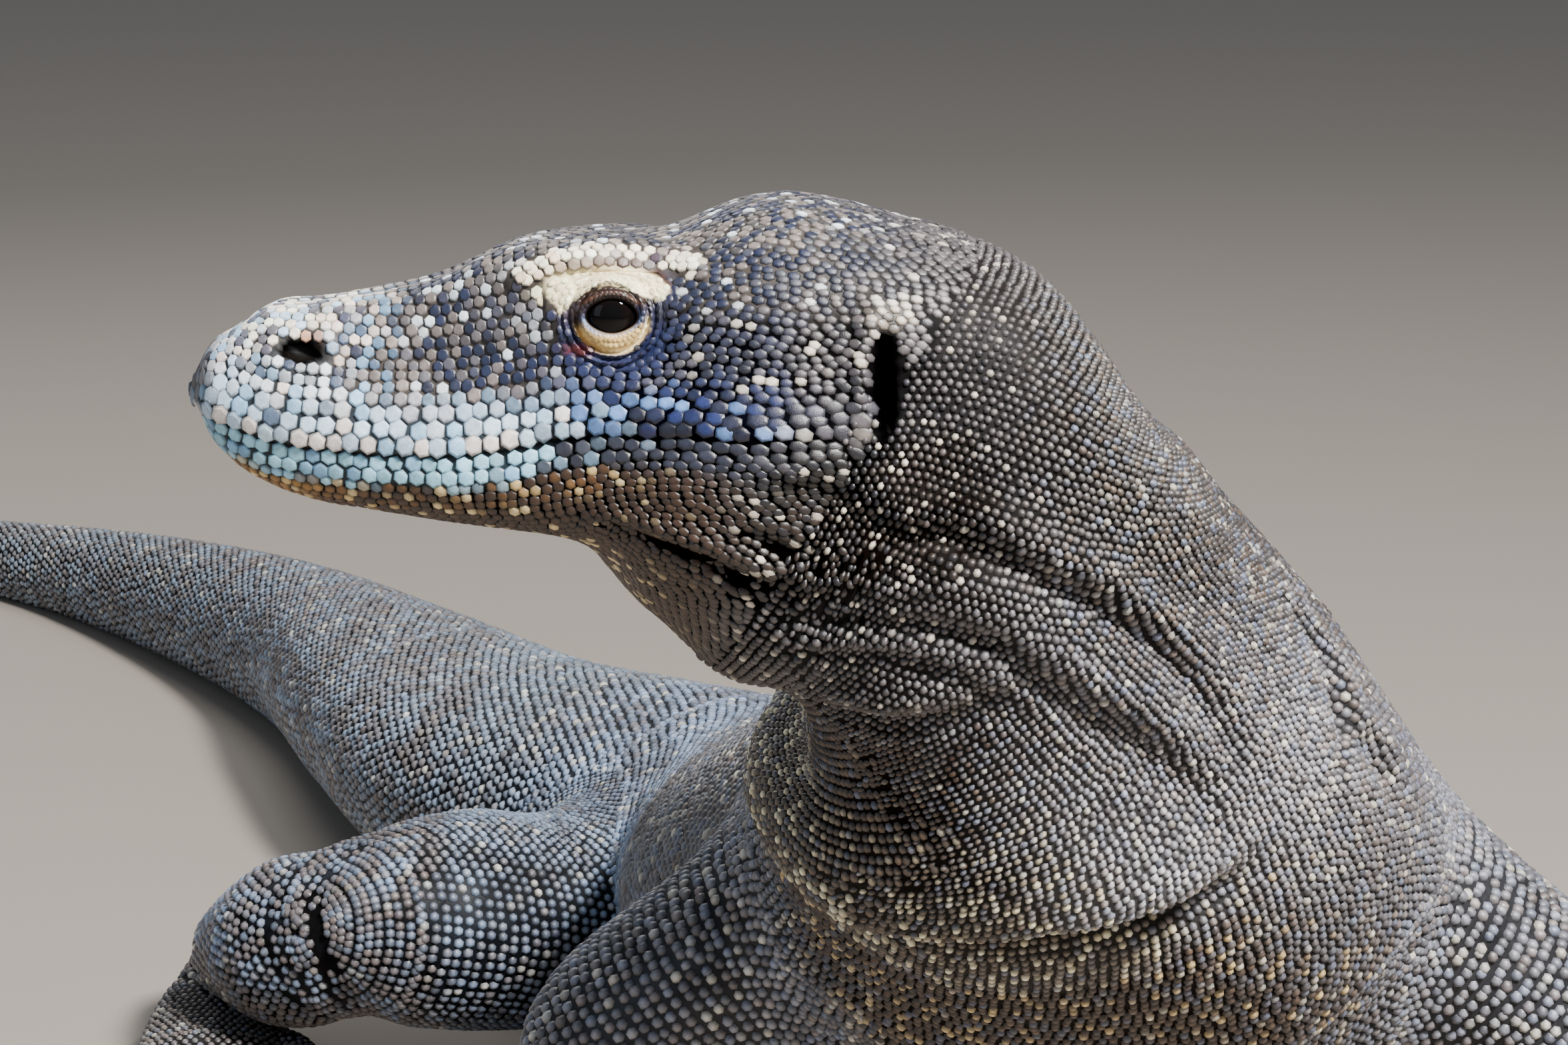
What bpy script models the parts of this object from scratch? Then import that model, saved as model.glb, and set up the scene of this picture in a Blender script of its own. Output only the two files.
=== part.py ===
"""A Komodo dragon (Varanus komodoensis), as a still life-size museum model.

The animal sits with its forequarters raised on its forelegs, its belly, hips and tail on the
floor, and its head turned square to its own right.  Metres, +Z up, floor at z = 0.
The chest faces -Y, the body runs towards +Y and the snout points to -X.

Head, neck, trunk and tail are lengths of one loft along a curved spine.  A section of that
loft is a closed curve through eight handles: the top, a shoulder, a side and a lower handle
on each flank, and the bottom.  Legs, digits and claws are tapered lofts along their own paths.
Whatever would reach below the floor is pressed flat on it, as soft flesh is.
"""

import math

import bpy
import numpy as np

# ---------------------------------------------------------------- driving dimensions (metres)
GAP = 0.0003  # clearance between neighbouring solids
GROWTH = 0.0008  # how far a cutter made from a solid stands out from it
MODEL_SHIFT = np.array([0.28490, -0.95829, 0.0])  # from the posing frame to the model's origin

EAR = np.array([0.030, 0.0, 0.481])  # mid-plane point between the two ears
EYE_FORWARD = 0.0785
EYE_UP = 0.0250
EYE_APART = 0.0345  # eyeball centre from the mid-plane
EYE_RADIUS = 0.0105
NOSTRIL = (0.1685, 0.0134, 0.0310)  # forward, up and sideways of the ear point
NOSTRIL_SIZE = (0.0066, 0.0060, 0.0033)
EAR_SLIT = (0.0020, 0.0070, 0.0620)
EAR_SLIT_SIZE = (0.0040, 0.0080, 0.0135)
HEAD_ROLL = math.radians(4.0)  # the crown leans away from the chest's front

BODY_SIDES = 24
HEAD_SIDES = 28
TAIL_SIDES = 16
LIMB_SIDES = 10
DIGIT_SIDES = 6
CLAW_SIDES = 6

CLAW_LENGTH = 0.033
CLAW_RADIUS = 0.0056

# ---------------------------------------------------------------- colours (linear RGB)
HIDE_COLOUR = (0.16, 0.14, 0.12)
HEAD_COLOUR = (0.22, 0.20, 0.17)
CLAW_COLOUR = (0.05, 0.045, 0.04)
EYE_COLOUR = (0.01, 0.008, 0.008)


# ---------------------------------------------------------------- curves and sections
def through(knots, values, at):
    """A smooth curve through values at knots (cubic Hermite with averaged slopes), read at `at`."""
    knots = np.asarray(knots, float)
    values = np.asarray(values, float)
    at = np.atleast_1d(np.asarray(at, float))
    flat = values.reshape(len(knots), -1)
    steps = np.diff(knots)[:, None]
    chord = np.diff(flat, axis=0) / steps
    slope = np.empty_like(flat)
    slope[0] = chord[0]
    slope[-1] = chord[-1]
    slope[1:-1] = (chord[:-1] * steps[1:] + chord[1:] * steps[:-1]) / (steps[1:] + steps[:-1])
    i = np.clip(np.searchsorted(knots, at, side="right") - 1, 0, len(knots) - 2)
    width = (knots[i + 1] - knots[i])[:, None]
    t = np.clip((at - knots[i])[:, None] / width, 0, 1)
    result = (
        flat[i] * (2 * t**3 - 3 * t**2 + 1)
        + slope[i] * width * (t**3 - 2 * t**2 + t)
        + flat[i + 1] * (3 * t**2 - 2 * t**3)
        + slope[i + 1] * width * (t**3 - t**2)
    )
    return result.reshape((len(at),) + values.shape[1:])


def unit(vectors):
    vectors = np.asarray(vectors, float)
    return vectors / np.linalg.norm(vectors, axis=-1, keepdims=True)


def oval(half_width, up, down, top_box=0.0, low_box=0.0):
    """Handles of an oval section.  A box value of 0 is an ellipse, 0.2 a rounded rectangle."""
    high = math.sqrt(0.5) + top_box
    low = math.sqrt(0.5) + low_box
    return (
        (0.0, up),
        (half_width * high, up * high),
        (half_width, 0.0),
        (half_width * low, -down * low),
        (0.0, -down),
    )


def section_points(handles, count):
    """Closed section curves, (stations, count, 2), from handles (stations, 5, 2)."""
    top, shoulder, side, lower, bottom = (handles[:, k] for k in range(5))
    mirror = np.array([-1.0, 1.0])
    ring = np.stack(
        [top, shoulder, side, lower, bottom, lower * mirror, side * mirror, shoulder * mirror],
        axis=1,
    )
    spread = np.arange(count) * 8.0 / count
    i = np.floor(spread).astype(int)
    t = (spread - i)[None, :, None]
    before, here = ring[:, (i - 1) % 8], ring[:, i % 8]
    after, beyond = ring[:, (i + 1) % 8], ring[:, (i + 2) % 8]
    return 0.5 * (
        2 * here
        + (after - before) * t
        + (2 * before - 5 * here + 4 * after - beyond) * t**2
        + (3 * here - before - 3 * after + beyond) * t**3
    )


class Loft:
    """A tube through stations, each a (centre, dorsal, heading, handles) of its own.

    The heading points from tail to head; None takes it from the neighbouring centres."""

    def __init__(self, stations):
        self.centres = np.array([s[0] for s in stations], float)
        dorsals = unit([s[1] for s in stations])
        run = -unit(np.gradient(self.centres, axis=0))
        headings = np.array(
            [run[k] if s[2] is None else s[2] for k, s in enumerate(stations)], float
        )
        self.lefts = unit(np.cross(dorsals, headings))
        plain = np.array([s[2] is None for s in stations])
        # Where the heading is taken from the line, the section stands square to the line.
        dorsals[plain] = unit(np.cross(headings, self.lefts))[plain]
        self.dorsals = dorsals
        self.handles = np.array([s[3] for s in stations], float)
        steps = np.linalg.norm(np.diff(self.centres, axis=0), axis=1)
        self.knots = np.concatenate([[0.0], np.cumsum(steps)])

    def rings(self, at, count, grow=0.0):
        """Ring points, (len(at), count, 3), with every section grown outwards by `grow`."""
        centre = through(self.knots, self.centres, at)
        dorsal = unit(through(self.knots, self.dorsals, at))
        left = through(self.knots, self.lefts, at)
        left = unit(left - dorsal * np.sum(left * dorsal, axis=1, keepdims=True))
        flat = section_points(through(self.knots, self.handles, at), count)
        if grow:
            middle = flat.mean(axis=1, keepdims=True)
            flat = flat + unit(flat - middle) * grow
        return (
            centre[:, None] + left[:, None] * flat[:, :, :1] + dorsal[:, None] * flat[:, :, 1:]
        )

    def between(self, first, last, steps):
        """Even stations from one place on the line to another, half a gap inside each."""
        return np.linspace(first + GAP / 2, last - GAP / 2, steps + 1)


def on_floor(points):
    """Presses whatever reaches below the floor flat on it."""
    points = points.copy()
    points[..., 2] = np.maximum(points[..., 2], 0.0)
    return points


# ---------------------------------------------------------------- meshes
def material(name, colour, roughness):
    made = bpy.data.materials.new(name)
    made.use_nodes = True
    shader = made.node_tree.nodes["Principled BSDF"]
    shader.inputs["Base Color"].default_value = (*colour, 1.0)
    shader.inputs["Roughness"].default_value = roughness
    made.diffuse_color = (*colour, 1.0)
    return made


def skin_rings(name, rings, finish, collection):
    """A closed solid over rings of points, with a fan of triangles on each end."""
    stations, count, _ = rings.shape
    points = on_floor(rings + MODEL_SHIFT)
    ends = points[[0, -1]].mean(axis=1)
    around = np.arange(count)
    after = (around + 1) % count
    rows = np.arange(stations - 1)[:, None] * count
    here, beyond = rows + around, rows + count + around
    across, beside = rows + count + after, rows + after
    sides = np.concatenate(
        [np.stack([here, beyond, across], axis=-1), np.stack([here, across, beside], axis=-1)]
    ).reshape(-1, 3)
    first, last = stations * count, stations * count + 1
    base = (stations - 1) * count
    fans = [(first, a, b) for a, b in zip(around, after)]
    fans += [(last, base + b, base + a) for a, b in zip(around, after)]
    mesh = bpy.data.meshes.new(name)
    mesh.from_pydata(
        [tuple(p) for p in np.concatenate([points.reshape(-1, 3), ends])],
        [],
        [tuple(int(v) for v in f) for f in sides] + [tuple(int(v) for v in f) for f in fans],
    )
    mesh.validate()
    mesh.shade_smooth()
    made = bpy.data.objects.new(name, mesh)
    mesh.materials.append(finish)
    collection.objects.link(made)
    return made


def facing_out(made):
    """Turns the mesh's faces outwards when its signed volume is negative."""
    mesh = made.data
    mesh.calc_loop_triangles()
    corners = np.array([mesh.vertices[v].co for t in mesh.loop_triangles for v in t.vertices])
    corners = corners.reshape(-1, 3, 3)
    if np.linalg.det(corners).sum() < 0:
        mesh.flip_normals()
    return made


def cut(target, cutter, operation="DIFFERENCE"):
    """Adds an exact Boolean of the cutter to the target."""
    step = target.modifiers.new(f"{operation.lower()}_{cutter.name}", "BOOLEAN")
    step.operation = operation
    step.object = cutter
    step.solver = "EXACT"


def as_cutter(made):
    made.hide_render = True
    made.display_type = "WIRE"
    return made


def ellipsoid(name, centre, size, turn, finish, collection, segments=12, rings=8):
    """An ellipsoid of half-axes `size`, tilted by `turn` radians about Y."""
    bpy.ops.mesh.primitive_uv_sphere_add(segments=segments, ring_count=rings, radius=1.0)
    made = bpy.context.object
    made.name = name
    made.data.name = name
    points = np.array([v.co for v in made.data.vertices]) * size
    c, s = math.cos(turn), math.sin(turn)
    turned = points @ np.array([[c, 0, s], [0, 1, 0], [-s, 0, c]]).T
    for vertex, place in zip(made.data.vertices, turned + centre + MODEL_SHIFT):
        vertex.co = place
    made.data.shade_smooth()
    made.data.materials.append(finish)
    for old in list(made.users_collection):
        old.objects.unlink(made)
    collection.objects.link(made)
    return made


# ---------------------------------------------------------------- the spine
HEAD_FORWARD = np.array([-1.0, 0.0, 0.0])
HEAD_UP = np.array([0.0, math.sin(HEAD_ROLL), math.cos(HEAD_ROLL)])
HEAD_LEFT = np.cross(HEAD_UP, HEAD_FORWARD)


def head_point(forward, up, aside=0.0):
    """A point of the head, from the ear point: forward, up and to the animal's left."""
    return EAR + HEAD_FORWARD * forward + HEAD_UP * up + HEAD_LEFT * aside


def face_station(forward, top, shoulder, side, lower, bottom):
    """An upright section of the face.  Heights are measured from the ear point."""
    return (
        head_point(forward, 0.0),
        HEAD_UP,
        HEAD_FORWARD,
        ((0.0, top), shoulder, side, lower, (0.0, bottom)),
    )


def leaning_station(top, bottom, shoulder_width, side_width, lower_width, side_at=0.0):
    """A section from a point on the crown or nape to one on the throat, both (forward, up).

    side_at shifts the widest level, as a part of half the section's height."""
    top, bottom = np.array(top), np.array(bottom)
    middle, half = (top + bottom) / 2, np.linalg.norm(top - bottom) / 2
    lean = (top - bottom) / (2 * half)
    dorsal = HEAD_FORWARD * lean[0] + HEAD_UP * lean[1]
    heading = HEAD_FORWARD * lean[1] - HEAD_UP * lean[0]
    return (
        head_point(*middle),
        dorsal,
        heading,
        (
            (0.0, half),
            (shoulder_width, half * 0.78),
            (side_width, half * side_at),
            (lower_width, -half * 0.72),
            (0.0, -half),
        ),
    )


FACE = [
    face_station(0.2020, 0.0060, (0.0075, 0.0045), (0.0095, -0.001), (0.0070, -0.0045), -0.0060),
    face_station(0.1985, 0.0125, (0.0135, 0.0095), (0.0190, -0.001), (0.0140, -0.0095), -0.0115),
    face_station(0.1900, 0.0190, (0.0178, 0.0160), (0.0255, -0.002), (0.0190, -0.0180), -0.0210),
    face_station(0.1800, 0.0252, (0.0200, 0.0215), (0.0300, -0.002), (0.0220, -0.0235), -0.0268),
    face_station(0.1680, 0.0262, (0.0212, 0.0232), (0.0325, -0.003), (0.0245, -0.0275), -0.0308),
    face_station(0.1500, 0.0287, (0.0218, 0.0258), (0.0350, -0.006), (0.0275, -0.0305), -0.0350),
    face_station(0.1300, 0.0328, (0.0232, 0.0300), (0.0380, -0.010), (0.0310, -0.0332), -0.0380),
    face_station(0.1100, 0.0402, (0.0290, 0.0378), (0.0410, -0.010), (0.0350, -0.0352), -0.0402),
    face_station(0.0900, 0.0422, (0.0355, 0.0405), (0.0455, -0.008), (0.0390, -0.0378), -0.0430),
]
NECK_TOP = [
    leaning_station((0.0630, 0.0470), (0.0820, -0.053), 0.0385, 0.0510, 0.0430, -0.12),
    leaning_station((0.0300, 0.0575), (0.0735, -0.063), 0.0410, 0.0590, 0.0480, -0.10),
    leaning_station((0.0000, 0.0525), (0.0640, -0.071), 0.0430, 0.0620, 0.0500, -0.05),
    leaning_station((-0.0225, 0.046), (0.0545, -0.081), 0.0440, 0.0600, 0.0480),
    leaning_station((-0.0450, 0.034), (0.0440, -0.087), 0.0440, 0.0580, 0.0460),
    leaning_station((-0.0615, 0.0145), (0.0300, -0.0900), 0.0440, 0.0585, 0.0460),
]
NECK_AND_TRUNK = [
    ((0.0613, 0.020, 0.412), (0.70, 0.25, 0.67), (-0.55, -0.25, 0.80), oval(0.0650, 0.069, 0.072)),
    ((0.0738, 0.050, 0.388), (0.60, 0.50, 0.62), (-0.35, -0.45, 0.82), oval(0.0750, 0.083, 0.088)),
    ((0.0880, 0.090, 0.356), (0.42, 0.68, 0.60), (-0.20, -0.60, 0.77), oval(0.0960, 0.094, 0.100)),
    ((0.1020, 0.140, 0.318), (0.20, 0.75, 0.63), (-0.10, -0.68, 0.73), oval(0.1160, 0.092, 0.108)),
    ((0.1100, 0.205, 0.270), (0.03, 0.55, 0.84), (-0.03, -0.84, 0.54), oval(0.1240, 0.090, 0.118)),
    ((0.1080, 0.320, 0.228), (0.0, 0.2, 1.0), None, oval(0.1250, 0.095, 0.112, 0.03, 0.03)),
    ((0.0960, 0.480, 0.185), (0.0, 0.2, 1.0), None, oval(0.1420, 0.092, 0.112, 0.03, 0.04)),
    ((0.0700, 0.620, 0.142), (0.0, 0.1, 1.0), None, oval(0.1440, 0.088, 0.118, 0.02, 0.05)),
    ((0.0350, 0.745, 0.108), (0.0, 0.05, 1.0), None, oval(0.1200, 0.080, 0.112, 0.0, 0.05)),
    ((-0.010, 0.865, 0.088), (0.0, 0.0, 1.0), None, oval(0.0960, 0.076, 0.096, 0.0, 0.04)),
]
TAIL_PATH = [
    ((-0.083, 0.965, 0.078), 0.0920, 0.073, 0.082),
    ((-0.150, 1.075, 0.072), 0.0930, 0.064, 0.077),
    ((-0.225, 1.240, 0.064), 0.0730, 0.061, 0.067),
    ((-0.300, 1.420, 0.053), 0.0490, 0.056, 0.055),
    ((-0.400, 1.600, 0.042), 0.0370, 0.045, 0.044),
    ((-0.545, 1.790, 0.028), 0.0240, 0.031, 0.030),
    ((-0.680, 1.900, 0.020), 0.0170, 0.022, 0.0215),
    ((-0.830, 1.965, 0.0125), 0.0105, 0.0135, 0.0140),
    ((-0.985, 1.975, 0.0055), 0.0042, 0.0050, 0.0060),
]
SPINE = Loft(
    FACE
    + NECK_TOP
    + NECK_AND_TRUNK
    + [(place, (0, 0, 1), None, oval(w, up, down)) for place, w, up, down in TAIL_PATH]
)
FACE_COUNT, NECK_COUNT = len(FACE), len(NECK_TOP)
HEAD_END = FACE_COUNT + 4  # the station behind the ears, where the neck begins


def spine_lengths():
    """The named lengths of the spine: name, first and last place on the line, sides, ring steps."""
    k = SPINE.knots
    trunk = FACE_COUNT + NECK_COUNT
    return [
        ("neck_upper", k[HEAD_END], k[trunk + 1], BODY_SIDES, 6),
        ("neck_lower", k[trunk + 1], k[trunk + 4], BODY_SIDES, 6),
        ("chest", k[trunk + 4], k[trunk + 6], BODY_SIDES, 5),
        ("belly", k[trunk + 6], k[trunk + 8], BODY_SIDES, 5),
        ("hips", k[trunk + 8], k[trunk + 10], BODY_SIDES, 5),
        ("tail_base", k[trunk + 10], k[trunk + 13], TAIL_SIDES, 8),
        ("tail_middle", k[trunk + 13], k[trunk + 15], TAIL_SIDES, 6),
        ("tail_end", k[trunk + 15], k[-1] + GAP / 2, TAIL_SIDES, 9),
    ]


# ---------------------------------------------------------------- legs
SHOULDER_GIRDLE = (np.array([0.110, 0.170, 0.0]), np.array([1.0, 0.0, 0.0]))
HIP_GIRDLE = (np.array([-0.010, 0.865, 0.0]), np.array([0.881, 0.473, 0.0]))


class Girdle:
    """Places points beside the spine: outwards, forwards and up, on one flank."""

    def __init__(self, girdle, side):
        self.origin, left = girdle
        self.out = left * side
        self.forward = np.array([left[1], -left[0], 0.0])

    def at(self, out, forward, up):
        return self.origin + self.out * out + self.forward * forward + np.array([0, 0, up])

    def towards(self, out, forward, up):
        return self.out * out + self.forward * forward + np.array([0.0, 0.0, up])


# Each leg piece: stations of (out, forward, up), half width, half thickness in front and behind,
# then the direction that its front faces.
ARM = {
    "upper_arm": (
        [((0.050, 0.004, 0.290), 0.050, 0.056, 0.054), ((0.120, 0.000, 0.256), 0.048, 0.052, 0.050),
         ((0.163, -0.014, 0.206), 0.042, 0.044, 0.045), ((0.187, -0.028, 0.168), 0.036, 0.037, 0.039)],
        (0.3, 0.8, 0.5),
    ),
    "forearm": (
        [((0.185, -0.026, 0.172), 0.034, 0.036, 0.036), ((0.195, -0.006, 0.132), 0.038, 0.039, 0.037),
         ((0.206, 0.016, 0.084), 0.032, 0.031, 0.031), ((0.214, 0.034, 0.040), 0.027, 0.024, 0.024)],
        (0.1, 0.9, 0.3),
    ),
}
LEG = {
    "thigh": (
        [((0.030, -0.020, 0.084), 0.072, 0.050, 0.058), ((0.110, 0.020, 0.082), 0.072, 0.049, 0.060),
         ((0.180, 0.036, 0.087), 0.062, 0.050, 0.056), ((0.238, 0.048, 0.094), 0.045, 0.046, 0.048)],
        (0.1, 0.1, 1.0),
    ),
    "shank": (
        [((0.246, 0.042, 0.094), 0.043, 0.044, 0.044), ((0.254, 0.000, 0.075), 0.044, 0.042, 0.042),
         ((0.254, -0.052, 0.056), 0.034, 0.034, 0.032), ((0.250, -0.098, 0.038), 0.028, 0.027, 0.026)],
        (0.3, 0.1, 1.0),
    ),
}
# Each foot: wrist or ankle and knuckles, then the digits as (turn from straight ahead in
# degrees towards the outside, length beyond the knuckles).
HAND = (
    [((0.214, 0.032, 0.031), 0.024, 0.021, 0.024), ((0.218, 0.058, 0.022), 0.033, 0.019, 0.022),
     ((0.222, 0.092, 0.017), 0.038, 0.014, 0.018)],
    [(-42, 0.040), (-20, 0.054), (0, 0.060), (20, 0.057), (46, 0.042)],
)
FOOT = (
    [((0.251, -0.094, 0.032), 0.024, 0.022, 0.024), ((0.272, -0.064, 0.023), 0.032, 0.019, 0.023),
     ((0.294, -0.014, 0.018), 0.040, 0.015, 0.018)],
    [(-14, 0.042), (6, 0.062), (24, 0.078), (42, 0.088), (76, 0.054)],
)
DIGIT_RADIUS = 0.0128
DIGIT_TIP_RADIUS = 0.0086
DIGIT_TIP_HEIGHT = 0.0094
ROUNDING = np.radians([28.0, 54.0, 76.0])  # the rings that close a rounded end


def limb_rings(girdle, stations, front, sides, steps):
    """Rings of a tapered limb, flat where it starts inside its neighbour and rounded at its end."""
    line = Loft(
        [
            (girdle.at(*place), girdle.towards(*front), None, oval(width, ahead, behind))
            for place, width, ahead, behind in stations
        ]
    )
    rings = line.rings(np.linspace(0.0, line.knots[-1], steps + 1), sides)
    return np.concatenate([rings, rounded(rings[-1], rings[-1] - rings[-2])])


def rounded(ring, outward):
    """Rings that close a tube in a dome beyond its last ring."""
    middle = ring.mean(axis=0)
    depth = np.linalg.norm(ring - middle, axis=1).mean()
    along = unit(outward.mean(axis=0))
    return np.array(
        [middle + (ring - middle) * math.cos(a) + along * depth * math.sin(a) for a in ROUNDING]
    )


def grown_copy(made, collection):
    """A cutter that is the same solid, larger all round by the gap."""
    copy = bpy.data.objects.new("grown_" + made.name, made.data.copy())
    collection.objects.link(copy)
    normals = [vertex.normal.copy() for vertex in copy.data.vertices]
    for vertex, normal in zip(copy.data.vertices, normals):
        vertex.co += normal * GROWTH
    return as_cutter(copy)


def digit_rings(knuckle, ahead, length):
    """A toe that arches up from the knuckles and comes down on its pad, with a flat end."""
    up = np.array([0.0, 0.0, 1.0])
    stations = []
    for along, height, size in (
        (-0.026, 0.0145, 1.0),
        (0.0, 0.0160, 1.0),
        (0.35 * length, 0.0170, 0.95),
        (0.75 * length, 0.0120, 0.86),
        (length, DIGIT_TIP_HEIGHT, DIGIT_TIP_RADIUS / DIGIT_RADIUS),
    ):
        place = knuckle + ahead * along + up * height
        radius = DIGIT_RADIUS * size
        heading = -ahead if along == length else None
        stations.append((place, up, heading, oval(radius, radius * 0.9, radius)))
    line = Loft(stations)
    return line.rings(np.linspace(0.0, line.knots[-1], 5), DIGIT_SIDES)


def claw_rings(root, ahead):
    """A curved claw: its radius falls with the square root of the length left to the tip."""
    up = np.array([0.0, 0.0, 1.0])
    stations = []
    for part in (0.0, 0.25, 0.5, 0.75, 1.0):
        height = 0.0045 * math.sin(math.pi * part * 0.85) - 0.0105 * part**2
        radius = CLAW_RADIUS * (1.0 - part) ** 0.6 + 0.0006
        place = root + ahead * CLAW_LENGTH * part + up * height
        heading = None if part else -ahead
        stations.append((place, up, heading, oval(radius * 0.72, radius, radius)))
    line = Loft(stations)
    return line.rings(np.linspace(0.0, line.knots[-1], 4), CLAW_SIDES)


class Limb:
    """One leg: its pieces, its foot with five digits, and their claws."""

    def __init__(self, girdle, side, pieces, foot, foot_name, finishes, collections):
        self.girdle = Girdle(girdle, 1 if side == "left" else -1)
        self.side, self.pieces, self.foot, self.foot_name = side, pieces, foot, foot_name
        self.hide, self.horn = finishes
        self.parts, self.cutters = collections

    def build(self, trunk):
        nearer = trunk
        for name, (stations, front) in self.pieces.items():
            rings = limb_rings(self.girdle, stations, front, LIMB_SIDES, 4)
            piece = facing_out(skin_rings(f"{name}_{self.side}", rings, self.hide, self.parts))
            for solid in nearer:
                cut(piece, solid)
            nearer = [grown_copy(piece, self.cutters)]
        self.build_foot(nearer[0])

    def build_foot(self, shin):
        stations, digits = self.foot
        rings = limb_rings(self.girdle, stations, (0.0, 0.2, 1.0), LIMB_SIDES, 4)
        palm = facing_out(
            skin_rings(f"{self.foot_name}_{self.side}", rings, self.hide, self.parts)
        )
        (out, forward, _), width, _, _ = stations[-1]
        for number, (turn, length) in enumerate(digits, start=1):
            angle = math.radians(turn)
            ahead = self.girdle.towards(math.sin(angle), math.cos(angle), 0.0)
            spread = (number - 3) / 2 * (width - 0.009)
            knuckle = self.girdle.at(out + spread, forward - abs(number - 3) * 0.003, 0.0)
            name = f"{self.foot_name}_{self.side}_digit_{number}"
            rings = digit_rings(knuckle, ahead, length)
            digit = facing_out(skin_rings(name, rings, self.hide, self.cutters))
            cut(palm, as_cutter(digit), "UNION")
            root = knuckle + ahead * (length + GAP) + np.array([0.0, 0.0, DIGIT_TIP_HEIGHT])
            claw = f"claw_{self.foot_name}_{self.side}_{number}"
            facing_out(skin_rings(claw, claw_rings(root, ahead), self.horn, self.parts))
        cut(palm, shin)


# ---------------------------------------------------------------- building
# The line where the lips meet, (forward, up), from beyond the snout tip to the mouth's corner.
MOUTH_LINE = [
    (0.2150, -0.0050), (0.2020, -0.0055), (0.1920, -0.0080), (0.1790, -0.0124), (0.1670, -0.0142),
    (0.1460, -0.0158), (0.1280, -0.0157), (0.1094, -0.0136), (0.0970, -0.0105), (0.0787, -0.0080),
    (0.0560, -0.0078), (0.0400, -0.0085),
]
CHIN_BLOCK = [(0.0900, -0.0750), (0.2150, -0.0750)]  # the lower jaw ends on the slant to here


def jaw_block(name, shift, finish, cutters):
    """A cutter that holds all of the head below the mouth line and in front of the throat."""
    outline = [head_point(f + shift[0], u + shift[1]) for f, u in MOUTH_LINE + CHIN_BLOCK]
    wide = HEAD_LEFT * 0.09
    count = len(outline)
    points = [p + wide + MODEL_SHIFT for p in outline] + [p - wide + MODEL_SHIFT for p in outline]
    faces = [tuple(range(count)), tuple(range(2 * count - 1, count - 1, -1))]
    faces += [(k, k + count, (k + 1) % count + count, (k + 1) % count) for k in range(count)]
    mesh = bpy.data.meshes.new(name)
    mesh.from_pydata([tuple(p) for p in points], [], faces)
    mesh.materials.append(finish)
    made = bpy.data.objects.new(name, mesh)
    cutters.objects.link(made)
    return as_cutter(facing_out(made))


def build_head(face, eye, parts, cutters):
    """The head with sockets for the eyes, nostrils and ear slits, the lower jaw, and the eyes."""
    knots = SPINE.knots
    end = knots[HEAD_END] - GAP / 2
    places = np.concatenate([np.linspace(0.0, knots[2], 5)[:-1], np.linspace(knots[2], end, 19)])
    rings = SPINE.rings(places, HEAD_SIDES)
    head = facing_out(skin_rings("head", rings, face, parts))
    jaw = facing_out(skin_rings("lower_jaw", rings, face, parts))
    cut(head, jaw_block("jaw_room", (0.0, 0.0), face, cutters))
    cut(jaw, jaw_block("jaw_outline", (2.2 * GAP, -GAP), face, cutters), "INTERSECT")
    for side, sign in (("left", 1), ("right", -1)):
        centre = head_point(EYE_FORWARD, EYE_UP, sign * EYE_APART)
        ellipsoid(f"eye_{side}", centre, (EYE_RADIUS,) * 3, 0.0, eye, parts)
        for name, place, size, turn in (
            ("socket", (EYE_FORWARD, EYE_UP, EYE_APART), (EYE_RADIUS + GAP,) * 3, 0.0),
            ("nostril", NOSTRIL, NOSTRIL_SIZE, math.radians(-12)),
            ("ear_slit", EAR_SLIT, EAR_SLIT_SIZE, math.radians(6)),
        ):
            middle = head_point(place[0], place[1], sign * place[2])
            hole = ellipsoid(f"{name}_{side}", middle, size, turn, eye, cutters)
            cut(head, as_cutter(hole))


def main():
    for old in list(bpy.data.objects):
        bpy.data.objects.remove(old)
    parts = bpy.data.collections.new("komodo_dragon")
    cutters = bpy.data.collections.new("cutters")
    for made in (parts, cutters):
        bpy.context.scene.collection.children.link(made)
    hide = material("hide", HIDE_COLOUR, 0.75)
    face = material("face", HEAD_COLOUR, 0.65)
    eye = material("eye", EYE_COLOUR, 0.1)
    horn = material("horn", CLAW_COLOUR, 0.35)

    build_head(face, eye, parts, cutters)
    lengths = {}
    for name, first, last, sides, steps in spine_lengths():
        rings = SPINE.rings(SPINE.between(first, last, steps), sides)
        lengths[name] = facing_out(skin_rings(name, rings, hide, parts))
    for side in ("left", "right"):
        for girdle, pieces, foot, name, beside in (
            (SHOULDER_GIRDLE, ARM, HAND, "hand", ("neck_lower", "chest")),
            (HIP_GIRDLE, LEG, FOOT, "foot", ("belly", "hips", "tail_base")),
        ):
            trunk = [grown_copy(lengths[length], cutters) for length in beside]
            Limb(girdle, side, pieces, foot, name, (hide, horn), (parts, cutters)).build(trunk)


main()
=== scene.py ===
"""Komodo dragon, a life-size museum model: skin, scales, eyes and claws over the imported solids.

The body is one tube along a curved spine and each leg is a chain of tubes.  Every tube is a
closed section of eight handles carried along a line of stations, so a place on the hide has two
coordinates: how far along the line it is, and how far round the section.  The skin is those
tubes with folds, brows and lips raised on them, joined to one another and to the rings of the
eyelids.  Scales are laid in rows in the same two coordinates.  Metres, +Z up, floor at z = 0.
"""

import itertools
import logging
import math
from dataclasses import dataclass, field
from enum import Enum

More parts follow.
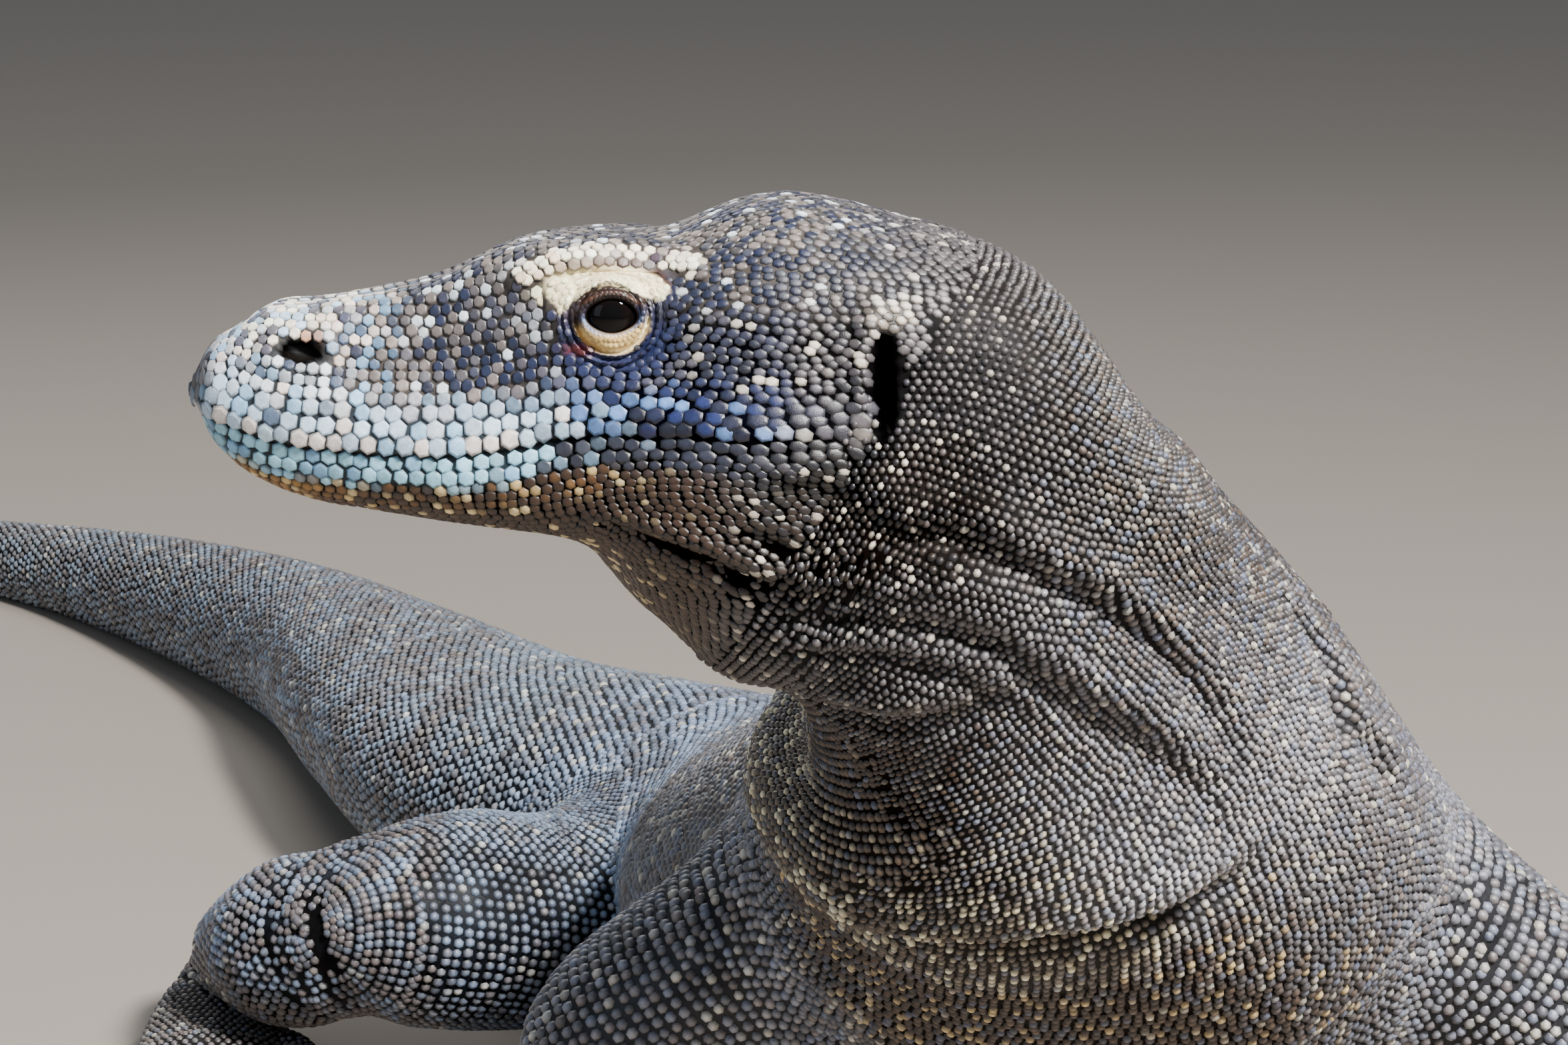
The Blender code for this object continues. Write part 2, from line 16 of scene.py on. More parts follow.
import bpy
import numpy as np
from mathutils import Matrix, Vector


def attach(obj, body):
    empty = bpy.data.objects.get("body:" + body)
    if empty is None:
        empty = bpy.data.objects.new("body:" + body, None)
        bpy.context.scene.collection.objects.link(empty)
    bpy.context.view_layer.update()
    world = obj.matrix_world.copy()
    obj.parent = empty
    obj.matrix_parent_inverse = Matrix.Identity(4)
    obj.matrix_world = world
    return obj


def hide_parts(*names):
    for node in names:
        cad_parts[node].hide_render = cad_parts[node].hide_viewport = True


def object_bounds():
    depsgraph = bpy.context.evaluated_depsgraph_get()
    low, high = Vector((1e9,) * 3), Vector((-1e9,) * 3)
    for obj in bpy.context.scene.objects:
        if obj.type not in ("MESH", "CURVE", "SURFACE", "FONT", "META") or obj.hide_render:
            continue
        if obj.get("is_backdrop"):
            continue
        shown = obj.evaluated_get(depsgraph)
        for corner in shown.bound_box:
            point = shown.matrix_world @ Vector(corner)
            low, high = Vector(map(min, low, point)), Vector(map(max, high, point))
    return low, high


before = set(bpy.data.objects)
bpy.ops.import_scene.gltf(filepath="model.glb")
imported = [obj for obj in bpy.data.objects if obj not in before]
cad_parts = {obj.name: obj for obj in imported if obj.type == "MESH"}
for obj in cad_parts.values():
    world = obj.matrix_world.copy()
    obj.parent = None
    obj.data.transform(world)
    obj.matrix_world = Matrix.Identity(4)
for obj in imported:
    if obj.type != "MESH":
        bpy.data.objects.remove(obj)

Array = np.ndarray
log = logging.getLogger("komodo_dragon")

SHIFT = np.array([0.28490, -0.95829, 0.0])  # from the posing frame to the model's own
COAT_DEPTH = 0.0012  # how deep the skin lies under the solids' surface


# ------------------------------------------------------------------ numbers and curves
def unit(vectors: Array) -> Array:
    """Returns the vectors at length one."""
    vectors = np.asarray(vectors, float)
    return vectors / np.maximum(np.linalg.norm(vectors, axis=-1, keepdims=True), 1e-12)


def rise(start: float, end: float, values: Array) -> Array:
    """Returns a smooth step from 0 at start to 1 at end: 3t^2 - 2t^3, with t kept in 0 to 1."""
    t = np.clip((values - start) / (end - start), 0.0, 1.0)
    return t * t * (3.0 - 2.0 * t)


def hill(values: Array, width: float) -> Array:
    """Returns a bell of height 1 round zero: e to the minus (value / width) squared."""
    return np.exp(-((values / width) ** 2))


def through(knots: Array, values: Array, at: Array) -> Array:
    """Reads a smooth curve through values at knots.

    Cubic Hermite pieces, whose slope at a knot is the mean of the two chords beside it, each
    weighted by the length of the other's interval.

    Args:
        knots: increasing places, (n,).
        values: the curve's values there, (n, ...).
        at: the places to read, (m,).

    Returns:
        The values there, (m, ...).
    """
    flat = values.reshape(len(knots), -1)
    steps = np.diff(knots)[:, None]
    chord = np.diff(flat, axis=0) / steps
    slope = np.empty_like(flat)
    slope[0], slope[-1] = chord[0], chord[-1]
    slope[1:-1] = (chord[:-1] * steps[1:] + chord[1:] * steps[:-1]) / (steps[1:] + steps[:-1])
    i = np.clip(np.searchsorted(knots, at, side="right") - 1, 0, len(knots) - 2)
    width = (knots[i + 1] - knots[i])[:, None]
    t = np.clip((at - knots[i])[:, None] / width, 0, 1)
    result = (
        flat[i] * (2 * t**3 - 3 * t**2 + 1)
        + slope[i] * width * (t**3 - 2 * t**2 + t)
        + flat[i + 1] * (3 * t**2 - 2 * t**3)
        + slope[i + 1] * width * (t**3 - t**2)
    )
    return result.reshape((len(at),) + values.shape[1:])


def hashed(cells: Array, seed: int) -> Array:
    """Returns a number from 0 to 1 for each whole-number cell, mixed from its coordinates.

    The coordinates are multiplied by large primes, joined by exclusive or, and stirred by
    shifts and two more products, all kept to 32 bits.
    """
    c = cells.astype(np.int64)
    mixed = (c[..., 0] * 73856093) ^ (c[..., 1] * 19349663) ^ (c[..., 2] * 83492791)
    mixed = (mixed ^ (seed * 2654435761)) & 0xFFFFFFFF
    mixed = ((mixed ^ (mixed >> 15)) * 2246822519) & 0xFFFFFFFF
    mixed = ((mixed ^ (mixed >> 13)) * 3266489917) & 0xFFFFFFFF
    return (mixed ^ (mixed >> 16)) / 4294967295.0


def noise(points: Array, cell: float, seed: int = 1) -> Array:
    """Returns smooth noise from 0 to 1 at points: hashed corners of a grid, blended by a cubic."""
    q = points / cell
    base = np.floor(q)
    part = q - base
    part = part * part * (3 - 2 * part)
    total = np.zeros(len(points))
    for corner in itertools.product((0, 1), repeat=3):
        share = np.prod(np.where(np.array(corner), part, 1 - part), axis=-1)
        total += share * hashed(base + np.array(corner), seed)
    return total


def line_distance(points: Array, line: Array) -> tuple[Array, Array]:
    """Measures how far points lie from a broken line in the plane.

    Args:
        points: (n, 2).
        line: the line's corners, (m, 2).

    Returns:
        The distance, positive on the line's left, and the part of the line passed, 0 to 1.
    """
    start, span = line[:-1], np.diff(line, axis=0)
    length = np.linalg.norm(span, axis=1)
    away = points[:, None] - start[None]
    t = np.clip(np.sum(away * span, axis=-1) / length**2, 0, 1)
    gap = away - t[..., None] * span
    far = np.linalg.norm(gap, axis=-1)
    best = np.argmin(far, axis=1)
    rows = np.arange(len(points))
    side = np.sign(span[best, 0] * away[rows, best, 1] - span[best, 1] * away[rows, best, 0])
    passed = np.concatenate([[0.0], np.cumsum(length)])
    return far[rows, best] * side, (passed[best] + t[rows, best] * length[best]) / passed[-1]


def colour(red: int, green: int, blue: int) -> Array:
    """Returns a linear colour from display values of 0 to 255."""
    value = np.array([red, green, blue]) / 255.0
    return np.where(value <= 0.04045, value / 12.92, ((value + 0.055) / 1.055) ** 2.4)


def mix(first: Array, second: Array, share: Array) -> Array:
    """Returns colours moved from the first to the second by a share for each row."""
    return first + (second - first) * np.clip(share, 0.0, 1.0)[:, None]


# ------------------------------------------------------------------ tubes
def oval(half_width: float, up: float, down: float, top_box: float = 0.0,
         low_box: float = 0.0) -> tuple:
    """Returns the handles of an oval section; a box value squares its shoulders."""
    high, low = math.sqrt(0.5) + top_box, math.sqrt(0.5) + low_box
    return (
        (0.0, up),
        (half_width * high, up * high),
        (half_width, 0.0),
        (half_width * low, -down * low),
        (0.0, -down),
    )


class Tube:
    """A surface over stations, each a (centre, dorsal, heading or None, handles) of its own.

    A place on it is (along, around): metres along the line of centres, and 0 to 8 round the
    section, from the top through the animal's left side (2), the bottom (4) and its right (6).
    """

    def __init__(self, stations: list, start: float = 0.0) -> None:
        """Sets up the line and its sections.

        Args:
            stations: the (centre, dorsal, heading, handles) of each.
            start: the value of `along` at the first station.
        """
        self.centres = np.array([s[0] for s in stations], float)
        dorsals = unit([s[1] for s in stations])
        run = -unit(np.gradient(self.centres, axis=0))
        given = [run[k] if s[2] is None else s[2] for k, s in enumerate(stations)]
        headings = np.array(given, float)
        self.lefts = unit(np.cross(dorsals, headings))
        plain = np.array([s[2] is None for s in stations])
        dorsals[plain] = unit(np.cross(headings, self.lefts))[plain]
        self.dorsals = dorsals
        self.handles = np.array([s[3] for s in stations], float)
        steps = np.linalg.norm(np.diff(self.centres, axis=0), axis=1)
        self.knots = start + np.concatenate([[0.0], np.cumsum(steps)])

    def frame(self, along: Array) -> tuple[Array, Array, Array]:
        """Returns the centre, the left and the dorsal direction at each place of the line."""
        centre = through(self.knots, self.centres, along)
        dorsal = unit(through(self.knots, self.dorsals, along))
        left = through(self.knots, self.lefts, along)
        left = unit(left - dorsal * np.sum(left * dorsal, axis=1, keepdims=True))
        return centre, left, dorsal

    def point(self, along: Array, around: Array) -> Array:
        """Returns the surface's points: a closed Catmull-Rom curve through the eight handles."""
        centre, left, dorsal = self.frame(along)
        top, shoulder, side, lower, bottom = np.moveaxis(
            through(self.knots, self.handles, along), 1, 0
        )
        flip = np.array([-1.0, 1.0])
        ring = np.stack(
            [top, shoulder, side, lower, bottom, lower * flip, side * flip, shoulder * flip],
            axis=1,
        )
        i = np.floor(around).astype(int)
        t = (around - i)[:, None]
        rows = np.arange(len(along))
        before, here = ring[rows, (i - 1) % 8], ring[rows, i % 8]
        after, beyond = ring[rows, (i + 1) % 8], ring[rows, (i + 2) % 8]
        flat = 0.5 * (
            2 * here
            + (after - before) * t
            + (2 * before - 5 * here + 4 * after - beyond) * t**2
            + (3 * here - before - 3 * after + beyond) * t**3
        )
        return centre + left * flat[:, :1] + dorsal * flat[:, 1:]

    def shaped(self, along: Array, around: Array) -> Array:
        """Returns the points of the hide; a plain tube's are its own."""
        return self.point(along, around)

    def lie(self, along: Array, around: Array) -> tuple[Array, Array, Array, Array]:
        """Finds how the hide lies at each place, by small differences.

        Returns:
            The place, the derivative by `along`, the derivative by `around`, and the normal.
        """
        step, turn = 0.0006, 0.02
        back = np.maximum(along - step, self.knots[0])
        on = np.minimum(along + step, self.knots[-1])
        by_along = self.shaped(on, around) - self.shaped(back, around)
        by_along /= (on - back)[:, None]
        by_around = self.shaped(along, around + turn) - self.shaped(along, around - turn)
        by_around /= 2 * turn
        return self.shaped(along, around), by_along, by_around, unit(np.cross(by_around, by_along))

    def arcs(self, along: Array, samples: int = 129, end: float = 8.0) -> tuple[Array, Array]:
        """Measures the way round the section at each place of the line.

        Returns:
            The values of `around` that were sampled, and the distance to each, a row a place.
        """
        turns = np.linspace(0.0, end, samples)
        grid = self.point(np.repeat(along, samples), np.tile(turns, len(along)))
        steps = np.linalg.norm(np.diff(grid.reshape(len(along), samples, 3), axis=1), axis=-1)
        return turns, np.concatenate([np.zeros((len(along), 1)), np.cumsum(steps, axis=1)], axis=1)

    def holds(self, points: Array, slack: float = 0.0) -> Array:
        """Tells which points are inside, taking each section for two half ellipses."""
        places = np.linspace(self.knots[0], self.knots[-1], 60)
        centre, left, dorsal = self.frame(places)
        handles = through(self.knots, self.handles, places)
        far = np.linalg.norm(points[:, None] - centre[None], axis=-1)
        k = np.argmin(far, axis=1)
        away = points - centre[k]
        aside = np.sum(away * left[k], axis=1)
        up = np.sum(away * dorsal[k], axis=1)
        ahead = np.linalg.norm(away - left[k] * aside[:, None] - dorsal[k] * up[:, None], axis=1)
        tall = np.where(up > 0, handles[k, 0, 1], -handles[k, 4, 1])
        out = (aside / handles[k, 2, 0]) ** 2 + (up / tall) ** 2
        return (out < (1.0 - slack) ** 2) & (ahead < 0.02)


def read_rows(arcs: Array, turns: Array, row: Array, distance: Array) -> Array:
    """Turns a distance round the section back into `around`, for many rows at once.

    The rows are laid end to end, each lifted by its number times more than the longest row, so
    that one interpolation serves them all.
    """
    lift = arcs.max() * 2.0
    lifted = arcs + np.arange(len(arcs))[:, None] * lift
    return np.interp(distance + row * lift, lifted.ravel(), np.tile(turns, len(arcs)))


def even_places(first: float, last: float, step_at: tuple, steps: tuple) -> Array:
    """Returns places along a line whose spacing follows the steps given at a few of them.

    The number of steps up to a place is the integral of one over the step there.
    """
    fine = np.linspace(first, last, 4000)
    pace = 1.0 / np.interp(fine, step_at, steps)
    passed = np.concatenate([[0.0], np.cumsum((pace[1:] + pace[:-1]) / 2 * np.diff(fine))])
    return np.interp(np.linspace(0.0, passed[-1], int(round(passed[-1])) + 1), passed, fine)


# ------------------------------------------------------------------ the head's own measures
ROLL = math.radians(4.0)
EAR = np.array([0.030, 0.0, 0.481]) + SHIFT  # mid-plane point between the two ears
FORWARD = np.array([-1.0, 0.0, 0.0])
UP = np.array([0.0, math.sin(ROLL), math.cos(ROLL)])
LEFT = np.cross(UP, FORWARD)
EYE = (0.0785, 0.0250, 0.0345)  # forward, up and aside of the ear point
EYE_RADIUS = 0.0105
MOUTH = np.array([
    (0.2100, -0.0052), (0.2020, -0.0055), (0.1920, -0.0080), (0.1790, -0.0124),
    (0.1670, -0.0142), (0.1460, -0.0158), (0.1280, -0.0157), (0.1094, -0.0136),
    (0.0970, -0.0105), (0.0787, -0.0080), (0.0560, -0.0078), (0.0400, -0.0085),
    (0.0160, -0.0075), (-0.0200, -0.0060), (-0.0600, -0.0050),
])  # (forward, up) of the line where the lips meet, and on past the corner


def head_point(forward: float, up: float, aside: float = 0.0) -> Array:
    """Returns a point of the head from its measures from the ear point."""
    return EAR + FORWARD * forward + UP * up + LEFT * aside


def head_measures(points: Array) -> tuple[Array, Array, Array]:
    """Returns forward, up and aside of points, measured from the ear point."""
    away = points - EAR
    return away @ FORWARD, away @ UP, away @ LEFT


def face_station(forward: float, top: float, shoulder: tuple, side: tuple, lower: tuple,
                 bottom: float) -> tuple:
    """Returns an upright section of the face, with heights from the ear point."""
    handles = ((0.0, top), shoulder, side, lower, (0.0, bottom))
    return head_point(forward, 0.0), UP, FORWARD, handles


def leaning_station(top: tuple, bottom: tuple, shoulder_width: float, side_width: float,
                    lower_width: float, side_at: float = 0.0) -> tuple:
    """Returns a section from a point on the crown or nape to one on the throat."""
    high, low = np.array(top), np.array(bottom)
    middle, half = (high + low) / 2, np.linalg.norm(high - low) / 2
    lean = (high - low) / (2 * half)
    dorsal = FORWARD * lean[0] + UP * lean[1]
    heading = FORWARD * lean[1] - UP * lean[0]
    handles = ((0.0, half), (shoulder_width, half * 0.78), (side_width, half * side_at),
               (lower_width, -half * 0.72), (0.0, -half))
    return head_point(middle[0], middle[1]), dorsal, heading, handles


def body_stations() -> list:
    """Returns the stations of the whole body, from the snout's tip to the tail's."""
    face = [
        face_station(0.2034, 0.0036, (0.0048, 0.0026), (0.0062, -0.001), (0.0046, -0.0032), -0.0043),
        face_station(0.2020, 0.0060, (0.0075, 0.0045), (0.0095, -0.001), (0.0070, -0.0045), -0.0060),
        face_station(0.1985, 0.0125, (0.0135, 0.0095), (0.0190, -0.001), (0.0140, -0.0095), -0.0115),
        face_station(0.1900, 0.0190, (0.0178, 0.0160), (0.0255, -0.002), (0.0190, -0.0180), -0.0210),
        face_station(0.1800, 0.0252, (0.0200, 0.0215), (0.0300, -0.002), (0.0220, -0.0235), -0.0268),
        face_station(0.1680, 0.0262, (0.0212, 0.0232), (0.0325, -0.003), (0.0245, -0.0275), -0.0308),
        face_station(0.1500, 0.0287, (0.0218, 0.0258), (0.0350, -0.006), (0.0275, -0.0305), -0.0350),
        face_station(0.1300, 0.0328, (0.0232, 0.0300), (0.0380, -0.010), (0.0310, -0.0332), -0.0380),
        face_station(0.1100, 0.0402, (0.0290, 0.0378), (0.0410, -0.010), (0.0350, -0.0352), -0.0402),
        face_station(0.0900, 0.0422, (0.0355, 0.0405), (0.0455, -0.008), (0.0390, -0.0378), -0.0430),
    ]
    nape = [
        leaning_station((0.0630, 0.0470), (0.0820, -0.053), 0.0385, 0.0510, 0.0430, -0.12),
        leaning_station((0.0300, 0.0575), (0.0735, -0.063), 0.0410, 0.0590, 0.0480, -0.10),
        leaning_station((0.0000, 0.0525), (0.0640, -0.071), 0.0430, 0.0620, 0.0500, -0.05),
        leaning_station((-0.0225, 0.046), (0.0545, -0.081), 0.0440, 0.0600, 0.0480),
        leaning_station((-0.0450, 0.034), (0.0440, -0.087), 0.0440, 0.0580, 0.0460),
        leaning_station((-0.0615, 0.0145), (0.0300, -0.0900), 0.0440, 0.0585, 0.0460),
    ]
    trunk = [
        ((0.0613, 0.020, 0.412), (0.70, 0.25, 0.67), (-0.55, -0.25, 0.80), oval(0.0650, 0.069, 0.072)),
        ((0.0738, 0.050, 0.388), (0.60, 0.50, 0.62), (-0.35, -0.45, 0.82), oval(0.0750, 0.083, 0.088)),
        ((0.0880, 0.090, 0.356), (0.42, 0.68, 0.60), (-0.20, -0.60, 0.77), oval(0.0960, 0.094, 0.100)),
        ((0.1020, 0.140, 0.318), (0.20, 0.75, 0.63), (-0.10, -0.68, 0.73), oval(0.1160, 0.092, 0.108)),
        ((0.1100, 0.205, 0.270), (0.03, 0.55, 0.84), (-0.03, -0.84, 0.54), oval(0.1240, 0.090, 0.118)),
        ((0.1080, 0.320, 0.228), (0.0, 0.2, 1.0), None, oval(0.1250, 0.095, 0.112, 0.03, 0.03)),
        ((0.0960, 0.480, 0.185), (0.0, 0.2, 1.0), None, oval(0.1420, 0.092, 0.112, 0.03, 0.04)),
        ((0.0700, 0.620, 0.142), (0.0, 0.1, 1.0), None, oval(0.1440, 0.088, 0.118, 0.02, 0.05)),
        ((0.0350, 0.745, 0.108), (0.0, 0.05, 1.0), None, oval(0.1200, 0.080, 0.112, 0.0, 0.05)),
        ((-0.010, 0.865, 0.088), (0.0, 0.0, 1.0), None, oval(0.0960, 0.076, 0.096, 0.0, 0.04)),
    ]
    tail = [
        ((-0.083, 0.965, 0.078), 0.0920, 0.073, 0.082),
        ((-0.150, 1.075, 0.072), 0.0930, 0.064, 0.077),
        ((-0.225, 1.240, 0.064), 0.0730, 0.061, 0.067),
        ((-0.300, 1.420, 0.053), 0.0490, 0.056, 0.055),
        ((-0.400, 1.600, 0.042), 0.0370, 0.045, 0.044),
        ((-0.545, 1.790, 0.028), 0.0240, 0.031, 0.030),
        ((-0.680, 1.900, 0.020), 0.0170, 0.022, 0.0215),
        ((-0.830, 1.965, 0.0125), 0.0105, 0.0135, 0.0140),
        ((-0.985, 1.975, 0.0055), 0.0042, 0.0050, 0.0060),
    ]
    below = [(np.array(s[0]) + SHIFT, s[1], s[2], s[3]) for s in trunk]
    behind = [(np.array(p) + SHIFT, (0, 0, 1), None, oval(w, up, down)) for p, w, up, down in tail]
    return face + nape + below + behind


@dataclass(frozen=True)
class Fold:
    """A crease of loose skin with a swollen lip, along a line of (along, around) on both flanks."""

    line: tuple[tuple[float, float], ...]
    depth: float  # of the crease
    lip: float  # height of the roll beside it
    width: float  # from crease to roll
    turn: float = 0.05  # metres that one unit of `around` is worth here

    def height(self, along: Array, around: Array) -> Array:
        """Returns the fold's height: a roll on its dorsal side less a narrow cut at its line."""
        line = np.array(self.line) * (1.0, self.turn)
        gap, part = line_distance(np.stack([along, around * self.turn], axis=1), line)
        fade = np.sqrt(np.clip(np.sin(math.pi * np.clip(part, 0.04, 0.96)), 0, 1))
        roll = self.lip * hill(-gap - 0.62 * self.width, 0.60 * self.width)
        cut = self.depth * hill(-gap + 0.14 * self.width, 0.40 * self.width)
        return (roll - cut) * fade


FOLDS = (
    Fold(((0.186, 2.10), (0.214, 2.12), (0.226, 1.94), (0.236, 1.86), (0.250, 1.77), (0.264, 1.67),
          (0.280, 1.70), (0.292, 1.77), (0.306, 1.90), (0.320, 2.02)), 0.0042, 0.0038, 0.0095),
    Fold(((0.130, 2.80), (0.154, 2.73), (0.176, 2.70), (0.198, 2.62), (0.222, 2.45), (0.238, 2.20),
          (0.252, 2.00)), 0.0038, 0.0032, 0.0080),
    Fold(((0.190, 2.78), (0.210, 2.70), (0.228, 2.56), (0.240, 2.36), (0.252, 2.22), (0.272, 2.20),
          (0.292, 2.21), (0.312, 2.28), (0.330, 2.36)), 0.0042, 0.0040, 0.0100),
    Fold(((0.176, 2.45), (0.196, 2.42), (0.214, 2.34), (0.230, 2.18)), 0.0024, 0.0020, 0.0055),
    Fold(((0.200, 3.05), (0.222, 2.90), (0.240, 2.62), (0.256, 2.44), (0.276, 2.42)), 0.0028,
         0.0024, 0.0066),
    Fold(((0.236, 3.40), (0.250, 3.05), (0.258, 2.70), (0.262, 2.42)), 0.0034, 0.0030, 0.0090),
    Fold(((0.350, 1.52), (0.362, 1.66), (0.376, 1.72), (0.392, 1.86), (0.400, 2.02)), 0.0032,
         0.0034, 0.0120, 0.075),
    Fold(((0.330, 1.20), (0.345, 1.36), (0.356, 1.60), (0.360, 1.86)), 0.0030, 0.0026, 0.0080, 0.07),
)


class Body(Tube):
    """The spine's tube with the features of face, neck and throat raised on it."""

    pouch_edge = ((2.4, 0.346), (2.7, 0.343), (3.2, 0.333), (3.8, 0.329), (4.0, 0.329))
    brow = ((0.1070, 0.0338), (0.1026, 0.0370), (0.0955, 0.0400), (0.0836, 0.0421),
            (0.0719, 0.0426), (0.0599, 0.0408), (0.0530, 0.0368))

    def __init__(self) -> None:
        """Sets up the stations, with `along` zero at the front of the solids' snout."""
        super().__init__(body_stations(), -0.0014)
        self.lip_table = self.find_lips()

    def find_lips(self) -> tuple[Array, Array]:
        """Finds the value of `around` at which the mouth's line crosses each section."""
        places = np.linspace(self.knots[0], 0.25, 120)
        turns = np.linspace(0.6, 3.6, 181)
        grid = self.point(np.repeat(places, len(turns)), np.tile(turns, len(places)))
        forward, up, _ = head_measures(grid)
        line = MOUTH[::-1]
        over = (up - np.interp(forward, line[:, 0], line[:, 1])).reshape(len(places), -1)
        crossing = np.argmax(over < 0, axis=1)
        crossing = np.where((over < 0).any(axis=1), crossing, 100)
        return places, turns[crossing]

    def lips(self, along: Array) -> Array:
        """Returns the value of `around` at the lips, and a steady one on the neck."""
        found = np.interp(along, *self.lip_table)
        return found + (2.2 - found) * rise(0.19, 0.24, along)

    def relief(self, along: Array, around: Array, base: Array) -> Array:
        """Returns the height of the hide over the plain tube.

        Bells round points and lines of the head's measures make the brow, the canthus, the
        lips, the jaw muscle and the rims of nostril and ear; folds and the throat's pouch
        follow the tube's own coordinates.
        """
        forward, up, aside = head_measures(base)
        turn = np.minimum(np.mod(around, 8.0), 8.0 - np.mod(around, 8.0))
        height = np.zeros(len(along))
        head = along < 0.26
        height[head] += self.face_relief(forward[head], up[head], np.abs(aside[head]))
        neck = (along > 0.11) & (along < 0.46)
        for fold in FOLDS:
            height[neck] += fold.height(along[neck], turn[neck])
        edge = np.interp(turn, *np.array(self.pouch_edge).T)
        bag = rise(0.262, 0.322, along) * rise(2.25, 2.9, turn)
        lip = along - edge
        height += 0.0110 * bag * (1 - rise(-0.003, 0.006, lip))
        height -= 0.0065 * hill(lip - 0.010, 0.007) * rise(2.3, 2.8, turn)
        height += 0.0070 * hill(along - 0.272, 0.020) * rise(1.7, 0.8, turn)
        loose = rise(0.2, 0.3, along) * (1 - rise(1.1, 1.5, along))
        height += loose * 0.0022 * (noise(base, 0.034, 5) - 0.5)
        return height + 0.0006 * (noise(base, 0.011, 6) - 0.5)

    def face_relief(self, forward: Array, up: Array, aside: Array) -> Array:
        """Returns the face's part of the relief, from the head's measures."""
        side = rise(0.018, 0.028, aside)
        flat = np.stack([forward, up], axis=1)
        brow, part = line_distance(flat, np.array(self.brow))
        ends = np.sqrt(np.clip(np.sin(math.pi * np.clip(part, 0.08, 0.92)), 0, 1))
        height = 0.0030 * hill(brow, 0.0026) * ends * side
        crown = hill(forward - 0.082, 0.030) * rise(0.034, 0.022, aside) * rise(0.028, 0.036, up)
        height += 0.0016 * crown
        height += 0.0016 * hill(forward - 0.047, 0.013) * rise(0.036, 0.020, aside) * rise(0.028, 0.036, up)
        canthus, _ = line_distance(flat, np.array(((0.105, 0.0355), (0.13, 0.0300), (0.158, 0.0225))))
        height += 0.0011 * hill(canthus, 0.0035) * side * rise(0.172, 0.158, forward)
        height -= 0.0020 * hill(forward - 0.122, 0.024) * hill(up - 0.010, 0.009) * side
        height -= 0.0012 * hill(forward - 0.148, 0.010) * hill(up - 0.008, 0.006) * side
        mouth = up - np.interp(forward, MOUTH[::-1, 0], MOUTH[::-1, 1])
        held = rise(0.004, 0.03, forward)
        height += 0.0006 * hill(mouth - 0.0032, 0.0028) * held
        height -= 0.0006 * hill(mouth + 0.0022, 0.0030) * held
        height -= 0.0005 * hill(mouth, 0.0006) * rise(0.045, 0.075, forward)
        height += 0.0030 * hill(forward - 0.030, 0.026) * hill(up + 0.012, 0.020) * side
        height += 0.0016 * hill(forward - 0.045, 0.022) * hill(up - 0.026, 0.010) * side
        # The nostril stands in a low swelling.
        nose = np.hypot((forward - 0.1680) / 0.0085, (up - 0.0136) / 0.0055)
        height += 0.0016 * hill(nose - 1.05, 0.42) * side
        height -= 0.0008 * hill(forward - 0.1575, 0.004) * hill(up - 0.0125, 0.005) * side
        # The ear's slit: a raised front edge, a scooped back edge, a pinched foot.
        ear = np.hypot((forward - 0.0015) / 0.0060, (up - 0.0070) / 0.0150)
        height += 0.0016 * hill(ear - 1.25, 0.42) * side * (0.4 + 0.6 * rise(0.0, 0.006, forward))
        height -= 0.0022 * hill(forward + 0.0040, 0.0050) * hill(up - 0.006, 0.012) * side
        height -= 0.0020 * hill(forward - 0.0030, 0.0030) * hill(up + 0.0115, 0.005) * side
        height -= 0.0030 * hill(forward + 0.0160, 0.012) * hill(up + 0.024, 0.010) * side
        # Room under the eyelids' ring.
        x, y = forward - EYE[0], up - EYE[1]
        ratio = np.hypot(x, y) / ring_reach(np.arctan2(y, x))
        return height - 0.0045 * (1 - rise(0.80, 0.90, ratio)) * side

    def shaped(self, along: Array, around: Array) -> Array:
        """Returns the points of the hide: the tube, moved along its normal by the relief."""
        base = self.point(along, around)
        ahead = self.point(np.minimum(along + 0.0008, self.knots[-1]), around)
        behind = self.point(np.maximum(along - 0.0008, self.knots[0]), around)
        beside = self.point(along, around + 0.02) - self.point(along, around - 0.02)
        normal = unit(np.cross(beside, ahead - behind))
        return base + normal * (self.relief(along, around, base) - COAT_DEPTH)[:, None]

    def locate(self, points: Array) -> tuple[Array, Array]:
        """Finds the nearest place of the spine for each point.

        Returns:
            `along`, and `around` from the angle in the section's plane.
        """
        places = np.linspace(self.knots[0], self.knots[-1], 300)
        centre, left, dorsal = self.frame(places)
        nearest = np.empty(len(points), int)
        for first in range(0, len(points), 20000):
            some = points[first:first + 20000]
            far = (centre**2).sum(axis=1) - 2 * some @ centre.T
            nearest[first:first + 20000] = np.argmin(far, axis=1)
        away = points - centre[nearest]
        angle = np.arctan2(np.sum(away * left[nearest], axis=1),
                           np.sum(away * dorsal[nearest], axis=1))
        return places[nearest], np.mod(angle * 4 / math.pi, 8.0)


